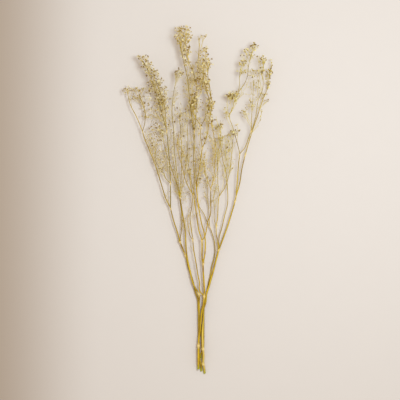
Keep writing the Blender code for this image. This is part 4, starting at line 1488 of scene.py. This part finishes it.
RIGHT = Spray(
    "spray_right", 14, warmth=1.0, light=1.03, green=1.03, browned=0.32,
    stems=[
        Stem("foot", [(10.1, -278), (9.3, -270), (7.7, -262), (8.2, -250), (6.6, -231), (6.9, -204),
                      (8.2, -188), (8.2, -175), (11.4, -164), (13, -150), (16.5, -139),
                      (20.6, -124.5), (24.2, -112), (27.2, -100), (30.2, -89), (32.8, -78.6)],
             (1.8, 1.3), 8, joints=(-262, -238), bleached=0.35),
        Stem("main", [(32.8, -78.6), (40.8, -58), (47.5, -39), (52.6, -22), (58.2, -3), (60.6, 7.7)],
             (1.25, 1.0), 13, "foot", joints=(-1,)),
        Stem("inner", [(32.8, -78.6), (30.2, -63), (28.8, -55), (28.6, -42), (30.4, -30), (31.2, -17),
                       (32.2, 1), (33.6, 7.7)], (0.8, 0.65), 13, "foot"),
        Stem("inner_left", [(33.6, 7.7), (31.5, 23), (31, 49), (30.6, 70), (33, 84), (36, 100),
                            (33, 116)], (0.55, 0.42), 18, "inner", fringe=4, threads=2),
        Stem("inner_right", [(33.6, 7.7), (42, 20), (49, 42), (53, 70), (55, 98)], (0.5, 0.42), 16,
             "inner", fringe=4, threads=2),
        Stem("inner_side", [(28.6, -42), (25.8, -33), (25.4, -12), (24.5, 1), (27, 20)], (0.5, 0.42), 14,
             "inner", fringe=2, threads=1),
        Stem("second", [(32.8, -78.6), (33.1, -60.5), (37.3, -45), (41.9, -25), (46.4, -7), (45.4, 30),
                        (44.3, 44), (39.2, 64), (35, 92)], (0.75, 0.42), 16, "foot", fringe=3,
             threads=2, threads_from=0.5),
        Stem("fork_left", [(60.6, 7.7), (62.7, 38), (64.3, 59), (66.2, 75)], (0.95, 0.7), 18, "main"),
        Stem("elbow", [(66.2, 75), (62.7, 89), (57.6, 108), (54.6, 118), (49.5, 135), (54.5, 147),
                       (58.6, 161), (65, 174.5), (72, 184), (78, 198), (80, 215), (85, 238)],
             (0.55, 0.34), 26, "fork_left", fringe=3, threads=2, brown=0.3),
        Stem("upright", [(62.5, 170), (65.2, 182), (65.4, 198), (67, 212)], (0.4, 0.3), 27, "elbow",
             brown=0.4),
        Stem("climb", [(66.2, 75), (71.8, 81), (82, 105), (88, 120), (91.5, 135), (95.8, 161),
                       (102, 176), (103, 204), (104, 220)], (0.6, 0.36), 26, "fork_left", fringe=3,
             threads=1, brown=0.25),
        Stem("thin_climb", [(84.5, 110), (85, 135), (87, 165), (88, 192)], (0.46, 0.32), 22, "climb",
             fringe=2, threads=1, brown=0.25),
        Stem("outer", [(60.6, 7.7), (66, 27), (69.5, 50), (75, 73), (85, 107), (94.5, 135),
                       (104, 163), (112, 184), (114, 202), (118, 216)], (0.9, 0.38), 11, "main",
             joints=(73,), bare=1),
    ],
    heads=[
        Head("elbow", (89, 245.5), (5.5, 6, 8), 22, EVEN),
        Head("elbow", (78, 237), (5, 5, 7), 13, EVEN),
        Head("elbow", (70, 231), (3, 3, 5), 3),
        Head("elbow", (86, 231), (4, 4, 5), 8),
        Head("upright", (71, 218), (6, 5, 7), 18),
        Head("upright", (69, 206), (7, 4, 7), 10),
        Head("climb", (95, 228), (3, 3, 5), 3),
        Head("climb", (104, 225), (5, 7, 10), 17),
        Head("climb", (100, 206), (6, 6, 10), 14),
        Head("thin_climb", (87, 203), (6, 6, 8), 8),
        Head("outer", (117.5, 220), (2, 5, 5), 3),
        Head("outer", (114, 205), (5, 6, 13), 15),
        Head("outer", (111, 190), (4, 9, 13), 11),
        Head("climb", (96, 184), (4, 8, 8), 6),
        Head("outer", (104, 169), (7, 5, 6), 9),
        Head("outer", (109, 160), (3, 3, 4), 3),
        Head("elbow", (50, 167), (6, 6, 8), 22),
        Head("elbow", (60, 167), (5, 8, 8), 26),
        Head("elbow", (46, 142), (7, 15, 7), 10, HAZE),
        Head("thin_climb", (84, 155), (4, 7, 6), 7),
        Head("thin_climb", (74, 140), (6, 8, 6), 13),
        Head("elbow", (47, 139), (3, 3, 4), 3),
        Head("elbow", (62, 112), (4, 10, 6), 9),
        Head("inner_left", (31, 119), (9, 5, 6), 16),
        Head("second", (34, 100), (6, 4, 5), 10),
        Head("inner_right", (53, 106), (7, 8, 7), 14),
        Head("inner_right", (43, 85), (9, 14, 6), 10),
        Head("inner_left", (31, 65), (9, 40, 7), 14, HAZE),
        Head("inner_right", (49, 72), (9, 34, 7), 18, HAZE),
        Head("second", (43, 60), (8, 34, 6), 12, HAZE),
        Head("inner_side", (25, 10), (6, 22, 6), 13, HAZE),
        Head("elbow", (78, 214), (12, 20, 9), 9, HAZE),
        Head("climb", (99, 196), (10, 30, 9), 8, HAZE),
        Head("thin_climb", (84, 165), (10, 30, 8), 14, HAZE),
    ],
)

CENTRE = Spray(
    "spray_centre", 15, warmth=1.0, light=1.05, green=0.985, browned=0.35,
    stems=[
        Stem("foot", [(0, -271), (0, -252), (0.2, -233), (1.6, -212), (2.9, -199), (4, -191),
                      (5.6, -177), (8.5, -164), (9.3, -153), (9.6, -145), (8.8, -130), (7.5, -109),
                      (7.5, -100.5)], (1.8, 1.25), 12, joints=(-233,)),
        Stem("left", [(9.3, -153), (4.8, -149), (1.6, -143), (1.8, -132), (-0.3, -122), (-4, -99),
                      (-8, -75.5), (-9, -63), (-11.5, -45), (-13.3, -24), (-10.9, -12), (-9.4, 1),
                      (-12, 22), (-15, 44)], (1.0, 0.45), 17, "foot", fringe=2, threads=1,
             threads_from=0.3),
        Stem("left_side", [(-9, -63), (-13.5, -56), (-15.5, -45), (-17, -34), (-16, -22)],
             (0.5, 0.42), 15, "left", fringe=2, threads=1),
        Stem("first", [(7.5, -100.5), (5.8, -91), (5.8, -79), (5.4, -64), (0.8, -48), (-2.7, -25),
                       (-6.4, 1), (-7.8, 10)], (1.2, 0.75), 18, "foot"),
        Stem("first_left", [(-7.8, 10), (-12, 15), (-20, 31), (-26, 54), (-32, 75), (-34.5, 88),
                            (-31, 106)], (0.55, 0.42), 20, "first", fringe=3, threads=1),
        Stem("first_rise", [(-7.8, 10), (-6.7, 38), (-7.7, 67), (-6, 110), (-3, 146), (-3.3, 183),
                            (-9.3, 207), (-13.4, 217), (-20.3, 231), (-23, 250)], (0.65, 0.34), 32,
             "first", fringe=6, threads=3, brown=0.6),
        Stem("first_second", [(-6, 110), (-11, 135), (-14.5, 165), (-17, 193), (-21, 210),
                              (-26, 232), (-30, 252)], (0.55, 0.45), 28, "first_rise", fringe=5,
             threads=3, brown=0.65, bare=-1),
        Stem("second", [(7.5, -100.5), (10.4, -84), (10.6, -60), (9.4, -52), (6.4, -42), (1.8, -20),
                        (-1.3, 1), (-2.5, 28), (1.5, 50), (4, 69), (6.1, 85)], (1.1, 0.65), 21,
             "foot", fringe=3, threads=3, threads_from=0.5),
        Stem("second_left", [(6.1, 85), (3, 106), (3.5, 118), (-4, 131), (-11, 144), (-11, 160)],
             (0.55, 0.42), 27, "second", fringe=4, threads=2, brown=0.3),
        Stem("second_cross", [(3.5, 118), (9.5, 129), (14.7, 142), (17, 157), (12, 178), (8, 196),
                              (8, 210)], (0.5, 0.42), 33, "second_left", fringe=5, threads=2, brown=0.5),
        Stem("second_right", [(6.1, 85), (10.3, 93), (14.7, 108), (16, 120), (20, 140), (21, 155),
                              (18, 180), (15, 200), (18, 220)], (0.6, 0.45), 34, "second", fringe=6,
             threads=3, bare=1, brown=0.3),
        Stem("third", [(5.4, -64), (8.5, -60.5), (13.6, -42), (15.5, -32), (18.9, -24), (19.8, -13),
                       (19.2, 1), (19.8, 19)], (0.9, 0.6), 18, "first"),
        Stem("third_left", [(19.8, 19), (15, 30), (10, 44), (9, 62)], (0.5, 0.42), 21, "third", fringe=4,
             threads=3),
        Stem("third_right", [(19.8, 19), (25, 42), (26, 56), (27, 89), (23, 112), (20, 128)],
             (0.5, 0.42), 25, "third", fringe=6, threads=5),
        Stem("far_thread", [(-3.3, 183), (-1, 215), (0.6, 236), (2, 250)], (0.5, 0.42), 30,
             "first_rise", fringe=3, threads=1),
    ],
    heads=[
        Head("first_rise", (-19, 260), (9, 15, 14), 44, EVEN),
        Head("first_second", (-30, 261), (8, 14, 13), 36, EVEN),
        Head("first_second", (-25, 274), (14, 4.5, 11), 22, EVEN),
        Head("first_rise", (-18, 238), (6, 9, 8), 24, EVEN),
        Head("first_rise", (-19, 220), (6, 8, 7), 13),
        Head("first_second", (-25, 238), (4, 9, 7), 10),
        Head("far_thread", (8.5, 261), (5, 2.5, 4), 6),
        Head("far_thread", (-0.5, 255), (2.5, 1.5, 3), 2),
        Head("far_thread", (11.5, 241), (4, 3, 4), 6),
        Head("second_right", (9, 235), (7, 6, 9), 11),
        Head("second_right", (14, 219), (8, 12, 13), 34),
        Head("second_cross", (6, 213), (8, 12, 12), 32),
        Head("first_rise", (-8, 197), (9, 16, 9), 19),
        Head("second_cross", (4, 190), (9, 15, 13), 38),
        Head("second_right", (11.5, 186), (6, 16, 13), 36),
        Head("second_left", (-9, 157), (6, 16, 11), 25),
        Head("first_rise", (-2, 165), (6, 22, 12), 26),
        Head("first_rise", (-6, 158), (4, 17, 9), 15),
        Head("second_left", (-1, 128), (10, 12, 9), 9),
        Head("second_right", (19, 152), (6, 18, 12), 30),
        Head("second_cross", (12, 148), (6, 12, 8), 11),
        Head("third_right", (21, 126), (5, 12, 8), 14),
        Head("first_left", (-32, 98), (6, 10, 7), 8),
        Head("third_left", (7, 66), (5, 8, 5), 7),
        Head("second", (-1, 114), (8, 8, 6), 11),
        Head("second", (12, 98), (8, 12, 7), 9),
        Head("left", (-13, 46), (5, 6, 5), 6),
        Head("first_left", (-27, 62), (9, 36, 7), 10, HAZE),
        Head("first_second", (-20, 184), (7, 25, 9), 34, HAZE),
        Head("second", (3, 52), (8, 34, 7), 21, HAZE),
        Head("third_left", (12, 48), (9, 30, 7), 22, HAZE),
        Head("third_right", (24, 82), (9, 42, 8), 42, HAZE),
        Head("third_right", (26, 36), (6, 13, 5), 13, HAZE),
    ],
)


@dataclass
class Bunch:
    """The five sprays, in the order in which they were laid down."""

    sprays: list[Spray] = field(default_factory=lambda: [LEFT, INNER, MID_LEFT, RIGHT, CENTRE])

    def build(self) -> None:
        """Lay the sprays and build each one."""
        laid = np.zeros((0, 4))
        for spray in self.sprays:
            laid = spray.lay(laid)
        grain_group()
        blotch_group()
        forms = SmallForms()
        skin = skin_tree()
        sitting = sitting_tree()
        for spray in self.sprays:
            spray.build(forms, skin, sitting)
        forms.remove()


@dataclass
class Surface:
    """The pale surface that the bunch lies on, plain but for painted shade towards its left edge."""

    side: float = 6.0
    colour: Colour = (0.80, 0.735, 0.675, 1.0)
    shade: Colour = (0.605, 0.53, 0.45, 1.0)    # share of the colour left in the painted shade at the left, where the light falls off
    # where across the surface, in metres, the painted shade starts and where it is full
    painted_shade_between: tuple[float, float] = (-0.15, -0.36)
    grain_size: float = 0.03
    grain_depth: float = 0.985                  # share of the colour left in its darker grain
    roughness: float = 0.9
    shine: float = 0.1

    def build(self) -> None:
        """Make the surface as a stage object, its top at height zero."""
        mesh = bpy.data.meshes.new("surface")
        half = self.side / 2
        corners = [(-half, -half, 0.0), (half, -half, 0.0), (half, half, 0.0), (-half, half, 0.0)]
        mesh.from_pydata(corners, [], [(0, 1, 2, 3)])
        made = new_object("surface", mesh)
        material, build, shader = start_material("surface_finish")
        place = build.add("ShaderNodeTexCoord").outputs["Object"]
        cloud = build.noise(place, 1.0 / self.grain_size, 2.0)
        darker = tuple(value * self.grain_depth for value in self.colour[:3]) + (1.0,)
        # Painted shade: the colour is multiplied darker towards the left edge, where the light falls off
        across = build.add("ShaderNodeSeparateXYZ", {0: place}).outputs[0]
        painted_shade_share = build.spread(across, *self.painted_shade_between, curve="SMOOTHSTEP")
        grained = build.mix(cloud, self.colour, darker)
        colour = build.add("ShaderNodeMix", {0: painted_shade_share, 6: grained, 7: self.shade},
                           data_type="RGBA", blend_type="MULTIPLY").outputs[2]
        build.feed(shader, {"Base Color": colour, "Roughness": self.roughness,
                            "Specular IOR Level": self.shine})
        mesh.materials.append(material)


@dataclass
class Studio:
    """Soft light from the upper right, and a camera that looks straight down."""

    seen: float = 0.640                     # width of surface that the camera takes in
    seen_height: float = 0.015              # height at which it does so
    middle: tuple[float, float] = (0.00256, 0.0008)
    lens: float = 135.0
    sensor: float = 36.0
    far: float = 50.0                       # how far the camera sees
    light_place: tuple[float, float, float] = (0.33, 0.22, 1.20)
    light_aim: tuple[float, float, float] = (0.12, 0.10, 0.0)
    light_side: float = 0.34
    light_power: float = 8.8
    light_colour: tuple[float, float, float] = (0.774, 0.893, 1.0)
    sky: Colour = (1.0, 0.897, 0.795, 1.0)
    sky_strength: float = 0.625

    def build(self) -> None:
        """Make the camera, the lamp and the even light all round."""
        scene = bpy.context.scene
        lens = bpy.data.cameras.new("camera")
        lens.lens = self.lens
        lens.sensor_width = self.sensor
        lens.clip_end = self.far
        camera = bpy.data.objects.new("camera", lens)
        distance = self.seen * self.lens / self.sensor + self.seen_height
        camera.location = (self.middle[0], self.middle[1], distance)
        scene.collection.objects.link(camera)
        scene.camera = camera
        glow = bpy.data.lights.new("window", "AREA")
        glow.shape = "DISK"
        glow.size = self.light_side
        glow.energy = self.light_power
        glow.color = self.light_colour
        lamp = bpy.data.objects.new("window", glow)
        lamp.location = self.light_place
        toward = Vector(self.light_aim) - Vector(self.light_place)
        lamp.rotation_euler = toward.to_track_quat("-Z", "Y").to_euler()
        scene.collection.objects.link(lamp)
        world = bpy.data.worlds.new("room")
        world.use_nodes = True
        background = world.node_tree.nodes["Background"]
        background.inputs["Color"].default_value = self.sky
        background.inputs["Strength"].default_value = self.sky_strength
        scene.world = world
        scene.view_settings.view_transform = "Standard"


def main() -> None:
    """Build the bunch and the studio, and log the faces of each piece and the florets of each spray."""
    logging.basicConfig(level=logging.INFO, format="%(message)s")
    Studio().build()
    Surface().build()
    Bunch().build()


if __name__ == "__main__":
    main()
